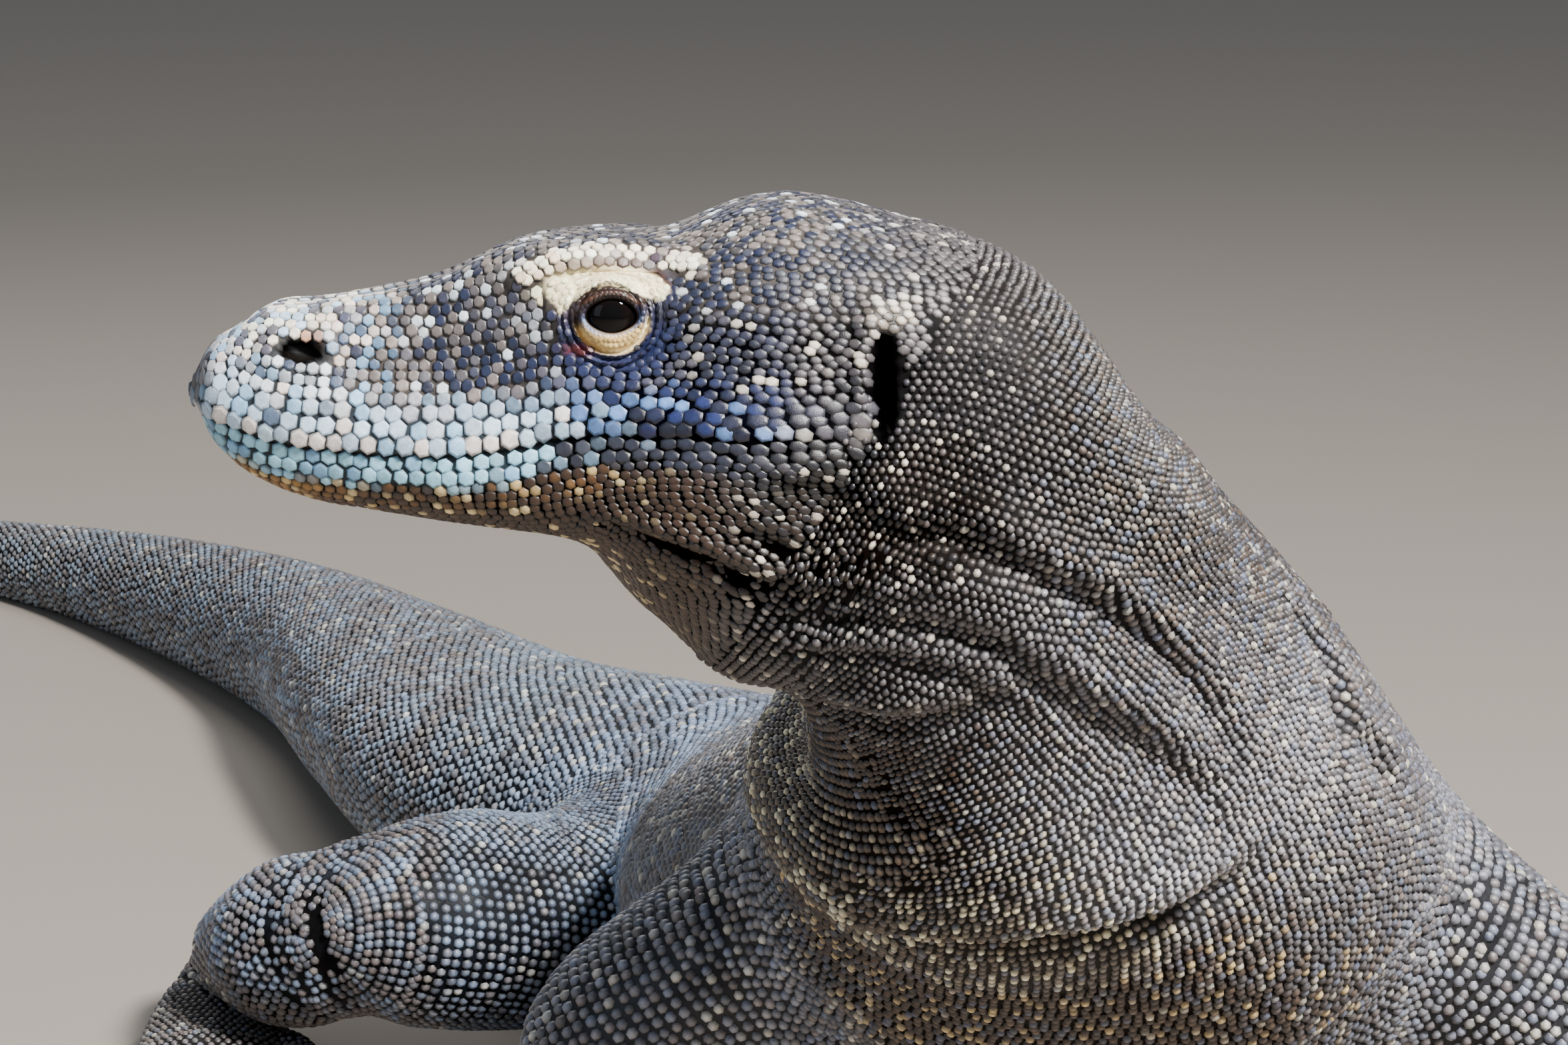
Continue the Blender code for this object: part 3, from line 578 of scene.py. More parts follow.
# ------------------------------------------------------------------ meshes
def make_mesh(name: str, points: Array, faces: Array, material: bpy.types.Material) -> bpy.types.Object:
    """Makes an object of a mesh whose faces all have the same number of corners.

    Args:
        name: the object's name.
        points: (n, 3).
        faces: (m, corners) of whole numbers.
        material: its finish.

    Returns:
        The new object, at the origin.
    """
    mesh = bpy.data.meshes.new(name)
    count, corners = faces.shape
    mesh.vertices.add(len(points))
    mesh.vertices.foreach_set("co", np.ascontiguousarray(points, np.float32).ravel())
    mesh.loops.add(count * corners)
    mesh.loops.foreach_set("vertex_index", np.ascontiguousarray(faces, np.int32).ravel())
    mesh.polygons.add(count)
    mesh.polygons.foreach_set("loop_start", np.arange(0, count * corners, corners, dtype=np.int32))
    mesh.polygons.foreach_set("loop_total", np.full(count, corners, dtype=np.int32))
    mesh.update(calc_edges=True)
    mesh.shade_smooth()
    mesh.materials.append(material)
    made = bpy.data.objects.new(name, mesh)
    bpy.context.scene.collection.objects.link(made)
    return made


def tube_faces(rings: int, count: int) -> Array:
    """Returns triangles over rings of points, with a fan to one more point at each end.

    The two end points come after the rings' points.  The faces look outwards where each ring
    runs from the top through the left side and the rings run from head to tail.
    """
    around = np.arange(count)
    after = (around + 1) % count
    rows = np.arange(rings - 1)[:, None] * count
    here, beyond = rows + around, rows + count + around
    beside, across = rows + after, rows + count + after
    sides = np.concatenate([np.stack([here, beside, across], axis=-1).reshape(-1, 3),
                            np.stack([here, across, beyond], axis=-1).reshape(-1, 3)])
    first = np.stack([np.full(count, rings * count), after, around], axis=-1)
    base = (rings - 1) * count
    last = np.stack([np.full(count, rings * count + 1), base + around, base + after], axis=-1)
    return np.concatenate([sides, first, last])


def facing_out(points: Array, faces: Array) -> Array:
    """Returns the faces, turned round if the closed shape's signed volume is negative."""
    fans = [faces[:, [0, k, k + 1]] for k in range(1, faces.shape[1] - 1)]
    volume = sum(np.linalg.det(points[fan] - points.mean(axis=0)).sum() for fan in fans)
    return faces[:, ::-1] if volume < 0 else faces


def ring_solid(name: str, rings: Array, material: bpy.types.Material) -> bpy.types.Object:
    """Makes a closed solid over rings of points, (rings, count, 3), fanned at both ends."""
    points = np.concatenate([rings.reshape(-1, 3), rings[[0, -1]].mean(axis=1)])
    points[:, 2] = np.maximum(points[:, 2], COAT_DEPTH)
    faces = tube_faces(rings.shape[0], rings.shape[1])
    return make_mesh(name, points, facing_out(points, faces), material)


def paint(made: bpy.types.Object, name: str, tints: Array, shine: Array | float = 1.0) -> None:
    """Stores a colour and, as its alpha, a share of the finish's shine for each vertex."""
    layer = made.data.color_attributes.new(name, "FLOAT_COLOR", "POINT")
    gloss = np.broadcast_to(shine, len(tints))[:, None]
    full = np.concatenate([np.clip(tints, 0, 1), gloss], axis=1)
    layer.data.foreach_set("color", full.astype(np.float32).ravel())


def coordinates(mesh: bpy.types.Mesh) -> Array:
    """Returns a mesh's points."""
    points = np.empty(len(mesh.vertices) * 3, np.float32)
    mesh.vertices.foreach_get("co", points)
    return points.reshape(-1, 3).astype(float)


def vertex_normals(mesh: bpy.types.Mesh) -> Array:
    """Returns a mesh's smooth normals."""
    normals = np.empty(len(mesh.vertices) * 3, np.float32)
    mesh.vertex_normals.foreach_get("vector", normals)
    return normals.reshape(-1, 3).astype(float)


def combine(target: bpy.types.Object, other: bpy.types.Object, operation: str) -> None:
    """Joins or cuts the target with another closed solid, which is then removed."""
    step = target.modifiers.new("combine", "BOOLEAN")
    step.operation, step.solver, step.object = operation, "MANIFOLD", other
    graph = bpy.context.evaluated_depsgraph_get()
    result = bpy.data.meshes.new_from_object(target.evaluated_get(graph))
    target.modifiers.clear()
    spare = target.data
    target.data = result
    bpy.data.meshes.remove(spare)
    bpy.data.objects.remove(other)


# ------------------------------------------------------------------ limbs
class Girdle:
    """Places points beside the spine: outwards, forwards and up, on one flank."""

    def __init__(self, origin: tuple, left: tuple, side: int) -> None:
        """Sets up the three directions; side is 1 for left and -1 for right."""
        self.origin = np.array(origin, float) + SHIFT
        left_way = np.array(left, float)
        self.out = left_way * side
        self.forward = np.array([left_way[1], -left_way[0], 0.0])

    def at(self, out: float, forward: float, up: float) -> Array:
        """Returns the point at these distances."""
        return self.origin + self.out * out + self.forward * forward + np.array([0, 0, up])

    def towards(self, out: float, forward: float, up: float) -> Array:
        """Returns the direction with these parts."""
        return self.out * out + self.forward * forward + np.array([0.0, 0.0, up])


ARM = (
    ([((0.050, 0.004, 0.290), 0.050, 0.056, 0.054), ((0.120, 0.000, 0.256), 0.048, 0.052, 0.050),
      ((0.163, -0.014, 0.206), 0.042, 0.044, 0.045), ((0.187, -0.028, 0.168), 0.036, 0.037, 0.039)],
     (0.3, 0.8, 0.5)),
    ([((0.185, -0.026, 0.172), 0.034, 0.036, 0.036), ((0.195, -0.006, 0.132), 0.038, 0.039, 0.037),
      ((0.206, 0.016, 0.084), 0.032, 0.031, 0.031), ((0.214, 0.034, 0.040), 0.027, 0.024, 0.024)],
     (0.1, 0.9, 0.3)),
)
LEG = (
    ([((0.030, -0.020, 0.084), 0.072, 0.050, 0.058), ((0.110, 0.020, 0.082), 0.072, 0.049, 0.060),
      ((0.180, 0.036, 0.087), 0.062, 0.050, 0.056), ((0.238, 0.048, 0.094), 0.045, 0.046, 0.048)],
     (0.1, 0.1, 1.0)),
    ([((0.246, 0.042, 0.094), 0.043, 0.044, 0.044), ((0.254, 0.000, 0.075), 0.044, 0.042, 0.042),
      ((0.254, -0.052, 0.056), 0.034, 0.034, 0.032), ((0.250, -0.098, 0.038), 0.028, 0.027, 0.026)],
     (0.3, 0.1, 1.0)),
)
HAND = (
    [((0.214, 0.032, 0.031), 0.024, 0.021, 0.024), ((0.218, 0.058, 0.022), 0.033, 0.019, 0.022),
     ((0.222, 0.092, 0.017), 0.038, 0.014, 0.018)],
    [(-42, 0.040), (-20, 0.054), (0, 0.060), (20, 0.057), (46, 0.042)],
)
FOOT = (
    [((0.251, -0.094, 0.032), 0.024, 0.022, 0.024), ((0.272, -0.064, 0.023), 0.032, 0.019, 0.023),
     ((0.294, -0.014, 0.018), 0.040, 0.015, 0.018)],
    [(-14, 0.042), (6, 0.062), (24, 0.078), (42, 0.088), (76, 0.054)],
)


@dataclass
class Digit:
    """A toe or finger that arches up from the knuckles and comes down on its pad."""

    knuckle: Array
    ahead: Array
    length: float
    radius: float = 0.0128
    tip_radius: float = 0.0086
    tip_height: float = 0.0094

    def tube(self) -> Tube:
        """Returns the digit's surface, from inside the palm to the claw's root."""
        up = np.array([0.0, 0.0, 1.0])
        shape = ((-0.026, 0.0145, 1.0), (0.0, 0.0160, 1.0), (0.35 * self.length, 0.0170, 0.95),
                 (0.75 * self.length, 0.0120, 0.86),
                 (self.length, self.tip_height, self.tip_radius / self.radius))
        stations = []
        for along, height, size in shape:
            place = self.knuckle + self.ahead * along + up * height
            r = self.radius * size
            heading = -self.ahead if along == self.length else None
            stations.append((place, up, heading, oval(r, r * 0.9, r)))
        return Tube(stations)


@dataclass
class Claw:
    """A curved horn claw that grows out of a digit's end.

    Its radius falls with a power of the length left to the tip, and its line rises a little
    and then hooks down.
    """

    name: str
    root: Array
    ahead: Array
    length: float = 0.033
    radius: float = 0.0056
    rings: int = 18
    sides: int = 14

    def build(self, material: bpy.types.Material) -> bpy.types.Object:
        """Makes the claw's mesh and puts it in place of the solid of the same name."""
        part = np.linspace(0.0, 1.0, self.rings)
        up = np.array([0.0, 0.0, 1.0])
        side = np.cross(up, self.ahead)
        height = 0.0045 * np.sin(math.pi * part * 0.85) - 0.0105 * part**2
        radius = self.radius * (1.0 - part) ** 0.6 + 0.0004
        angle = np.arange(self.sides) * 2 * math.pi / self.sides
        line = self.root + np.outer(part * self.length, self.ahead) + np.outer(height, up)
        slope = unit(np.gradient(line, axis=0))
        over = unit(np.cross(slope, side))
        rings = (
            line[:, None]
            + radius[:, None, None] * (0.72 * np.sin(angle)[None, :, None] * side
                                       + np.cos(angle)[None, :, None] * over[:, None])
        )
        rings[..., 2] = np.maximum(rings[..., 2], 0.0)
        points = np.concatenate([rings.reshape(-1, 3), rings[[0, -1]].mean(axis=1)])
        faces = facing_out(points, tube_faces(self.rings, self.sides))
        made = make_mesh(self.name + "_horn", points, faces, material)
        worn = np.concatenate([np.repeat(part, self.sides), [0.0, 1.0]])
        base, tip = colour(96, 84, 70), colour(34, 30, 28)
        paint(made, "tint", mix(np.tile(base, (len(worn), 1)), tip, rise(0.05, 0.5, worn)))
        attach(made, "root")
        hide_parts(self.name)
        return made


@dataclass
class Limb:
    """One leg: two tubes, a palm and five digits with their claws."""

    girdle: Girdle
    side: str
    pieces: tuple
    foot: tuple
    foot_name: str
    tubes: list[Tube] = field(default_factory=list)
    digits: list[Digit] = field(default_factory=list)
    claws: list[Claw] = field(default_factory=list)

    def __post_init__(self) -> None:
        """Works out the tubes, digits and claws."""
        for stations, front in self.pieces:
            self.tubes.append(self.along(stations, front))
        stations, digits = self.foot
        self.palm = self.along(stations, (0.0, 0.2, 1.0))
        (out, forward, _), width, _, _ = stations[-1]
        for number, (turn, length) in enumerate(digits, start=1):
            angle = math.radians(turn)
            ahead = self.girdle.towards(math.sin(angle), math.cos(angle), 0.0)
            spread = (number - 3) / 2 * (width - 0.009)
            knuckle = self.girdle.at(out + spread, forward - abs(number - 3) * 0.003, 0.0)
            digit = Digit(knuckle, ahead, length)
            self.digits.append(digit)
            root = knuckle + ahead * (length - 0.004) + np.array([0.0, 0.0, digit.tip_height])
            name = f"claw_{self.foot_name}_{self.side}_{number}"
            self.claws.append(Claw(name, root, ahead, 0.037))

    def along(self, stations: list, front: tuple) -> Tube:
        """Returns the tube through (out, forward, up), half width and two half depths."""
        return Tube([
            (self.girdle.at(*place), self.girdle.towards(*front), None, oval(width, ahead, behind))
            for place, width, ahead, behind in stations
        ])

    def all_tubes(self) -> list[Tube]:
        """Returns every tube of the limb, from the girdle outwards."""
        return [*self.tubes, self.palm, *(digit.tube() for digit in self.digits)]

    def joints(self) -> list[tuple[Array, float]]:
        """Returns the places where the skin runs smoothly from tube to tube, with their reach."""
        near = self.pieces[0][0]
        first = (np.array(near[0][0]) + np.array(near[1][0])) / 2
        lower = self.tubes[1]
        found = [(self.girdle.at(*first), 0.115), (lower.centres[0], 0.060),
                 (self.palm.centres[0], 0.042)]
        return found + [(digit.knuckle + np.array([0, 0, 0.014]), 0.020) for digit in self.digits]

    def solid(self, material: bpy.types.Material) -> bpy.types.Object:
        """Makes the limb's closed solid, each tube rounded at its end."""
        made = None
        for number, tube in enumerate(self.all_tubes()):
            small = number > 2
            count = 18 if small else 40
            rows = max(8, int((tube.knots[-1] - tube.knots[0]) / (0.0040 if small else 0.0055)))
            along = np.linspace(tube.knots[0], tube.knots[-1], rows)
            turns = np.arange(count) * 8.0 / count
            place, _, _, normal = tube.lie(np.repeat(along, count), np.tile(turns, rows))
            rings = (place - normal * COAT_DEPTH).reshape(rows, count, 3)
            rings = np.concatenate([rings, dome(rings)])
            piece = ring_solid("limb_piece", rings, material)
            if made is None:
                made = piece
            else:
                combine(made, piece, "UNION")
        return made


def dome(rings: Array, tall: float = 1.0) -> Array:
    """Returns rings that close a tube in a dome beyond its last ring, tall times its radius."""
    last = rings[-1]
    middle = last.mean(axis=0)
    depth = np.linalg.norm(last - middle, axis=1).mean() * tall
    out = unit((last - rings[-2]).mean(axis=0))
    angles = np.radians([16.0, 32.0, 48.0, 62.0, 74.0, 84.0])
    return np.array([middle + (last - middle) * math.cos(a) + out * depth * math.sin(a)
                     for a in angles])


# ------------------------------------------------------------------ eyes
def ring_reach(angle: Array) -> Array:
    """Returns how far the eyelid ring runs from the eye: less above, where the brow begins."""
    above = np.maximum(np.sin(angle), 0.0)
    return ((np.abs(np.cos(angle)) / 0.0205) ** 4 + (above / 0.0142) ** 4
            + (np.minimum(np.sin(angle), 0.0) / 0.0205) ** 4) ** -0.25


def lid_edge(angle: Array) -> Array:
    """Returns the lids' edge: an oval, drawn out a little towards its two corners."""
    high = np.where(np.sin(angle) > 0, 0.0050, 0.0046)
    plain = 1.0 / np.sqrt((np.cos(angle) / 0.0064) ** 2 + (np.sin(angle) / high) ** 2)
    return plain * (1 + 0.13 * np.abs(np.cos(angle)) ** 8)


@dataclass
class Eye:
    """An eyeball and the ring of lids and wrinkles round it, in polar measures of its own.

    The ring is a closed band: its front runs from the lids' edge out to the cheek, and its back
    lies deep in the head.  A place on the front has a radius and an angle, which is 0 in front
    of the eye and a quarter turn above it.
    """

    side: int
    body: Body
    sides: int = 112

    def __post_init__(self) -> None:
        """Fits a curved sheet to the cheek: aside as a quadratic of forward and up."""
        self.centre = head_point(EYE[0], EYE[1], self.side * EYE[2])
        self.out = LEFT * self.side
        along = np.linspace(0.085, 0.165, 41)
        turns = np.linspace(0.5, 3.0, 51)
        if self.side < 0:
            turns = 8.0 - turns
        places, rounds = np.repeat(along, 51), np.tile(turns, 41)
        base = self.body.point(places, rounds)
        forward, up, aside = head_measures(base)
        near = np.hypot(forward - EYE[0], up - EYE[1]) < 0.024
        self.sheet = np.linalg.lstsq(self.terms(forward[near] - EYE[0], up[near] - EYE[1]),
                                     np.abs(aside[near]) - EYE[2], rcond=None)[0]

    @staticmethod
    def terms(x: Array, y: Array) -> Array:
        """Returns 1, x, y, x^2, xy, y^2, x^3, x^2 y, x y^2 and y^3 for each place."""
        return np.stack([np.ones_like(x), x, y, x * x, x * y, y * y, x**3, x * x * y, x * y * y,
                         y**3], axis=-1)

    def front(self, radius: Array, angle: Array) -> Array:
        """Returns points of the ring's front.

        The height is the smooth maximum of the lids, a sphere over the eyeball, and the cheek,
        plus round wrinkles below and behind the eye, creases in the upper lid, and the brow.
        """
        x, y = radius * np.cos(angle), radius * np.sin(angle)
        cheek = self.terms(x, y) @ self.sheet - COAT_DEPTH
        above = rise(-0.2, 0.7, np.sin(angle))
        thick = 0.0011 + 0.0007 * above
        ball = EYE_RADIUS + thick
        lids = np.sqrt(np.maximum(ball**2 - radius**2, 1e-7))
        blend = 0.0016
        height = blend * np.logaddexp(lids / blend, cheek / blend)
        margin = radius - lid_edge(angle)
        height -= 0.0011 * hill(margin, 0.0009)
        height += 0.0005 * hill(margin - 0.0021, 0.0010)
        below = rise(0.30, -0.25, np.sin(angle))
        behind = rise(0.1, -0.9, np.cos(angle)) * rise(0.75, 0.2, np.sin(angle))
        band = rise(0.0098, 0.0112, radius) * rise(0.0160, 0.0140, radius)
        wave = np.cos(2 * math.pi * (radius - 0.0112) / 0.0023)
        height += 0.00062 * wave * band * np.clip(below + 0.8 * behind, 0, 1)
        height -= 0.0011 * hill(radius - 0.0101, 0.0008) * below
        height += 0.0007 * hill(radius - 0.0086, 0.0012) * below
        height -= 0.0010 * hill(radius - 0.0088 - 0.0007 * np.cos(angle), 0.0006) * above
        height += 0.0008 * hill(radius - 0.0102 - 0.0007 * np.cos(angle), 0.0008) * above
        height -= 0.0006 * hill(radius - 0.0117 - 0.0009 * np.cos(angle), 0.0006) * above
        over = np.clip(y, 0, None)
        brow, part = line_distance(np.stack([x + EYE[0], y + EYE[1]], axis=-1), np.array(Body.brow))
        ends = np.sqrt(np.clip(np.sin(math.pi * np.clip(part, 0.08, 0.92)), 0, 1))
        height += 0.0030 * hill(brow, 0.0026) * ends
        height -= 0.0016 * hill(brow - 0.0044, 0.0013) * ends * rise(0.008, 0.011, over)
        corner = hill(x - 0.0100, 0.0030) * hill(y + 0.0020, 0.0022)
        height -= 0.0010 * corner
        sunk = 0.0014 * rise(0.91, 1.0, radius / ring_reach(angle))
        return (self.centre + np.outer(x, FORWARD) + np.outer(y, UP)
                + np.outer(height - sunk, self.out))

    def ring(self, material: bpy.types.Material) -> bpy.types.Object:
        """Makes the closed ring: front, outer wall, back, and the wall that hugs the eyeball."""
        angle = np.arange(self.sides) * 2 * math.pi / self.sides
        edge = lid_edge(angle)
        share = np.linspace(0.0, 1.0, 44) ** 1.05
        reach = ring_reach(angle)
        loops = [self.front(edge + (reach - edge) * s, angle) for s in share]
        flat = np.outer(np.cos(angle), FORWARD) + np.outer(np.sin(angle), UP)
        loops.append(self.centre + flat * reach[:, None] - self.out * 0.0035)
        inner = EYE_RADIUS + 0.0004
        loops.append(self.centre + flat * (inner + 0.004) - self.out * 0.0035)
        loops.append(self.centre + flat * inner)
        for part in (0.35, 0.65, 0.9):
            radius = inner + (edge + 0.0004 - inner) * part
            depth = np.sqrt(np.maximum(inner**2 - radius**2, 0))
            loops.append(self.centre + flat * radius[:, None] + np.outer(depth, self.out))
        grid = np.array(loops)
        rows, count = grid.shape[:2]
        here = np.arange(rows)[:, None] * count + np.arange(count)
        beside = np.roll(here, -1, axis=1)
        beyond, across = np.roll(here, -1, axis=0), np.roll(beside, -1, axis=0)
        faces = np.stack([here, beside, across, beyond], axis=-1).reshape(-1, 4)
        points = grid.reshape(-1, 3)
        return make_mesh("lid_ring", points, facing_out(points, faces), material)

    def ball(self, material: bpy.types.Material) -> bpy.types.Object:
        """Makes the eyeball: a sphere with a cornea raised on it, dark iris and darker pupil."""
        rings, count = 40, 56
        polar = np.linspace(0.0, math.pi, rings + 1)[1:-1]
        angle = np.arange(count) * 2 * math.pi / count
        lift = 0.0005 * rise(0.75, 0.35, polar)
        flat = np.outer(np.cos(angle), FORWARD) + np.outer(np.sin(angle), UP)
        radius = (EYE_RADIUS - 0.0001 + lift)[:, None, None]
        grid = self.centre + radius * (np.sin(polar)[:, None, None] * flat[None]
                                       + np.cos(polar)[:, None, None] * self.out)
        ends = np.array([self.centre + self.out * (EYE_RADIUS + 0.0004),
                         self.centre - self.out * EYE_RADIUS])
        points = np.concatenate([grid.reshape(-1, 3), ends])
        name = "eyeball_left" if self.side > 0 else "eyeball_right"
        faces = facing_out(points, tube_faces(len(polar), count))
        made = make_mesh(name, points, faces, material)
        size = np.concatenate([np.repeat(np.sin(polar) * EYE_RADIUS, count), [0.0, 0.0]])
        front = np.concatenate([np.repeat(polar, count), [0.0, math.pi]]) < math.pi / 2
        tint = np.tile(colour(9, 8, 9), (len(points), 1))
        tint = mix(tint, colour(14, 9, 8), rise(0.0030, 0.0036, size) * front)
        tint = mix(tint, colour(12, 9, 9), rise(0.0052, 0.0058, size))
        tint = mix(tint, colour(60, 48, 42), rise(0.0068, 0.0076, size))
        paint(made, "tint", tint)
        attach(made, "root")
        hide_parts("eye_left" if self.side > 0 else "eye_right")
        return made

    def socket(self, material: bpy.types.Material) -> bpy.types.Object:
        """Makes the ball that is cut out of the head to make room for the eye."""
        rings, count = 16, 32
        polar = np.linspace(0.0, math.pi, rings + 1)[1:-1]
        angle = np.arange(count) * 2 * math.pi / count
        flat = np.outer(np.cos(angle), FORWARD) + np.outer(np.sin(angle), UP)
        radius = EYE_RADIUS + 0.0005
        grid = self.centre + radius * (np.sin(polar)[:, None, None] * flat[None]
                                       + np.cos(polar)[:, None, None] * self.out)
        ends = np.array([self.centre + self.out * radius, self.centre - self.out * radius])
        points = np.concatenate([grid.reshape(-1, 3), ends])
        faces = facing_out(points, tube_faces(len(polar), count))
        return make_mesh("socket", points, faces, material)


def slit(centre: tuple, axis: tuple, wide: tuple, length: float, depth: float, side: int,
         material: bpy.types.Material) -> bpy.types.Object:
    """Makes a cutter for a nostril or an ear: an oval rod laid in the hide's surface.

    Args:
        centre: forward, up and aside of its middle.
        axis: its (forward, up) direction.
        wide: half widths at even steps along it.
        length: its length.
        depth: its half depth.
        side: 1 for left, -1 for right.
        material: any finish.

    Returns:
        The cutter.
    """
    way = unit(np.array(axis, float))
    run = FORWARD * way[0] + UP * way[1]
    across = -FORWARD * way[1] + UP * way[0]
    part = np.linspace(-0.5, 0.5, 15)
    half = np.interp(part, np.linspace(-0.5, 0.5, len(wide)), wide)
    deep = depth * np.sqrt(np.clip(1 - (2 * part) ** 2, 0.02, 1))
    angle = np.arange(20) * 2 * math.pi / 20
    middle = head_point(centre[0], centre[1], side * centre[2])
    rings = (
        middle
        + (part * length)[:, None, None] * run
        + (half[:, None] * np.cos(angle))[..., None] * across
        + (deep[:, None] * np.sin(angle))[..., None] * LEFT
    )
    points = np.concatenate([rings.reshape(-1, 3), rings[[0, -1]].mean(axis=1)])
    return make_mesh("slit", points, facing_out(points, tube_faces(15, 20)), material)


# ------------------------------------------------------------------ the skin
class Skin:
    """One closed skin: spine, legs, eyelid rings, with openings for eyes, nostrils and ears."""

    upper_columns = 40
    lower_columns = 24
    near_lip = (0.0, 0.0004, 0.0009, 0.0015, 0.0023, 0.0034)

    def __init__(self, body: Body, limbs: list[Limb], eyes: list[Eye],
                 material: bpy.types.Material) -> None:
        """Keeps what the skin is made of."""
        self.body, self.limbs, self.eyes, self.material = body, limbs, eyes, material

    def columns(self, lip: Array, whole: Array, face: Array) -> Array:
        """Returns the distances round half the section at which the skin's columns run.

        They are spaced evenly above and below the lips, and on the face the first few keep
        close to the lips, so that the mouth's groove is crisp.
        """
        near = np.array(self.near_lip)
        sides = []
        for length, count in ((lip, self.upper_columns), (whole - lip, self.lower_columns)):
            even = length[:, None] * np.arange(count + 1) / count
            squeeze = np.minimum(1.0, 0.4 * length / near[-1])[:, None]
            first = near * squeeze
            rest = np.arange(1, count + 2 - len(near)) / (count + 1 - len(near))
            close = np.concatenate([first, first[:, -1:] + (length[:, None] - first[:, -1:]) * rest],
                                   axis=1)
            sides.append(even + (close - even) * face[:, None])
        upper, lower = sides
        return np.concatenate([lip[:, None] - upper[:, ::-1], lip[:, None] + lower[:, 1:]], axis=1)

    def spine(self) -> bpy.types.Object:
        """Makes the closed solid of head, neck, trunk and tail."""
        body = self.body
        places = even_places(body.knots[0], body.knots[-1], (0.0, 0.15, 0.21, 0.36, 0.55, 1.2, 2.78),
                             (0.0015, 0.0015, 0.0022, 0.0028, 0.0066, 0.0075, 0.015))
        turns, arcs = body.arcs(places, 161, 4.0)
        rows = np.arange(len(places))
        at = body.lips(places) * 40.0
        low = np.floor(at).astype(int)
        lip = arcs[rows, low] + (arcs[rows, low + 1] - arcs[rows, low]) * (at - low)
        face = 1.0 - rise(0.18, 0.23, places)
        distance = self.columns(lip, arcs[:, -1], face)
        half = distance.shape[1]
        around = read_rows(arcs, turns, np.repeat(rows, half), distance.ravel()).reshape(-1, half)
        around[:, 0], around[:, -1] = 0.0, 4.0
        full = np.concatenate([around, 8.0 - around[:, -2:0:-1]], axis=1)
        count = full.shape[1]
        points = body.shaped(np.repeat(places, count), full.ravel()).reshape(len(places), count, 3)
        points = np.concatenate([dome(points[:3][::-1], 0.12)[::-1], points, dome(points)])
        return ring_solid("skin", points, self.material)

    def build(self) -> bpy.types.Object:
        """Joins and cuts everything, and smooths the skin where the legs join."""
        skin = self.spine()
        for eye in self.eyes:
            combine(skin, eye.socket(self.material), "DIFFERENCE")
        for side in (1, -1):
            nostril = slit((0.1683, 0.0135, 0.0320), (1.0, 0.26),
                           (0.0013, 0.0030, 0.0036, 0.0031, 0.0014), 0.0150, 0.0080, side,
                           self.material)
            combine(skin, nostril, "DIFFERENCE")
            ear = slit((0.0012, 0.0072, 0.0600), (0.06, 1.0),
                       (0.0008, 0.0022, 0.0032, 0.0034, 0.0029, 0.0019, 0.0010), 0.0290, 0.0110,
                       side, self.material)
            combine(skin, ear, "DIFFERENCE")
        for eye in self.eyes:
            combine(skin, eye.ring(self.material), "UNION")
        for limb in self.limbs:
            combine(skin, limb.solid(self.material), "UNION")
        self.smooth(skin)
        skin.name = skin.data.name = "skin"
        return skin

    def smooth(self, skin: bpy.types.Object) -> None:
        """Relaxes the skin round each joint.

        Each point moves towards the mean of its neighbours, by a share that falls off with the
        distance to the joint, again and again.
        """
        mesh = skin.data
        points = coordinates(mesh)
        edges = np.empty(len(mesh.edges) * 2, np.int32)
        mesh.edges.foreach_get("vertices", edges)
        first, second = edges.reshape(-1, 2).T
        share = np.zeros(len(points))
        fine = np.zeros(len(points))
        for limb in self.limbs:
            for place, reach in limb.joints():
                near = rise(1.0, 0.45, np.linalg.norm(points - place, axis=1) / reach)
                if reach > 0.03:
                    share = np.maximum(share, near)
                else:
                    fine = np.maximum(fine, near)
        for weight, rounds in ((share, 70), (fine, 8)):
            part = (weight[first] > 0) | (weight[second] > 0)
            a, b = first[part], second[part]
            count = np.bincount(a, minlength=len(points)) + np.bincount(b, minlength=len(points))
            count = np.maximum(count, 1)
            for _ in range(rounds):
                mean = np.stack([
                    np.bincount(a, points[b, axis], len(points))
                    + np.bincount(b, points[a, axis], len(points))
                    for axis in range(3)
                ], axis=1) / count[:, None]
                points += (mean - points) * (0.6 * weight)[:, None]
        points[:, 2] = np.maximum(points[:, 2], COAT_DEPTH)
        mesh.vertices.foreach_set("co", points.astype(np.float32).ravel())
        mesh.update()
        mesh.shade_smooth()
        mesh.set_sharp_from_angle(angle=math.radians(52.0))


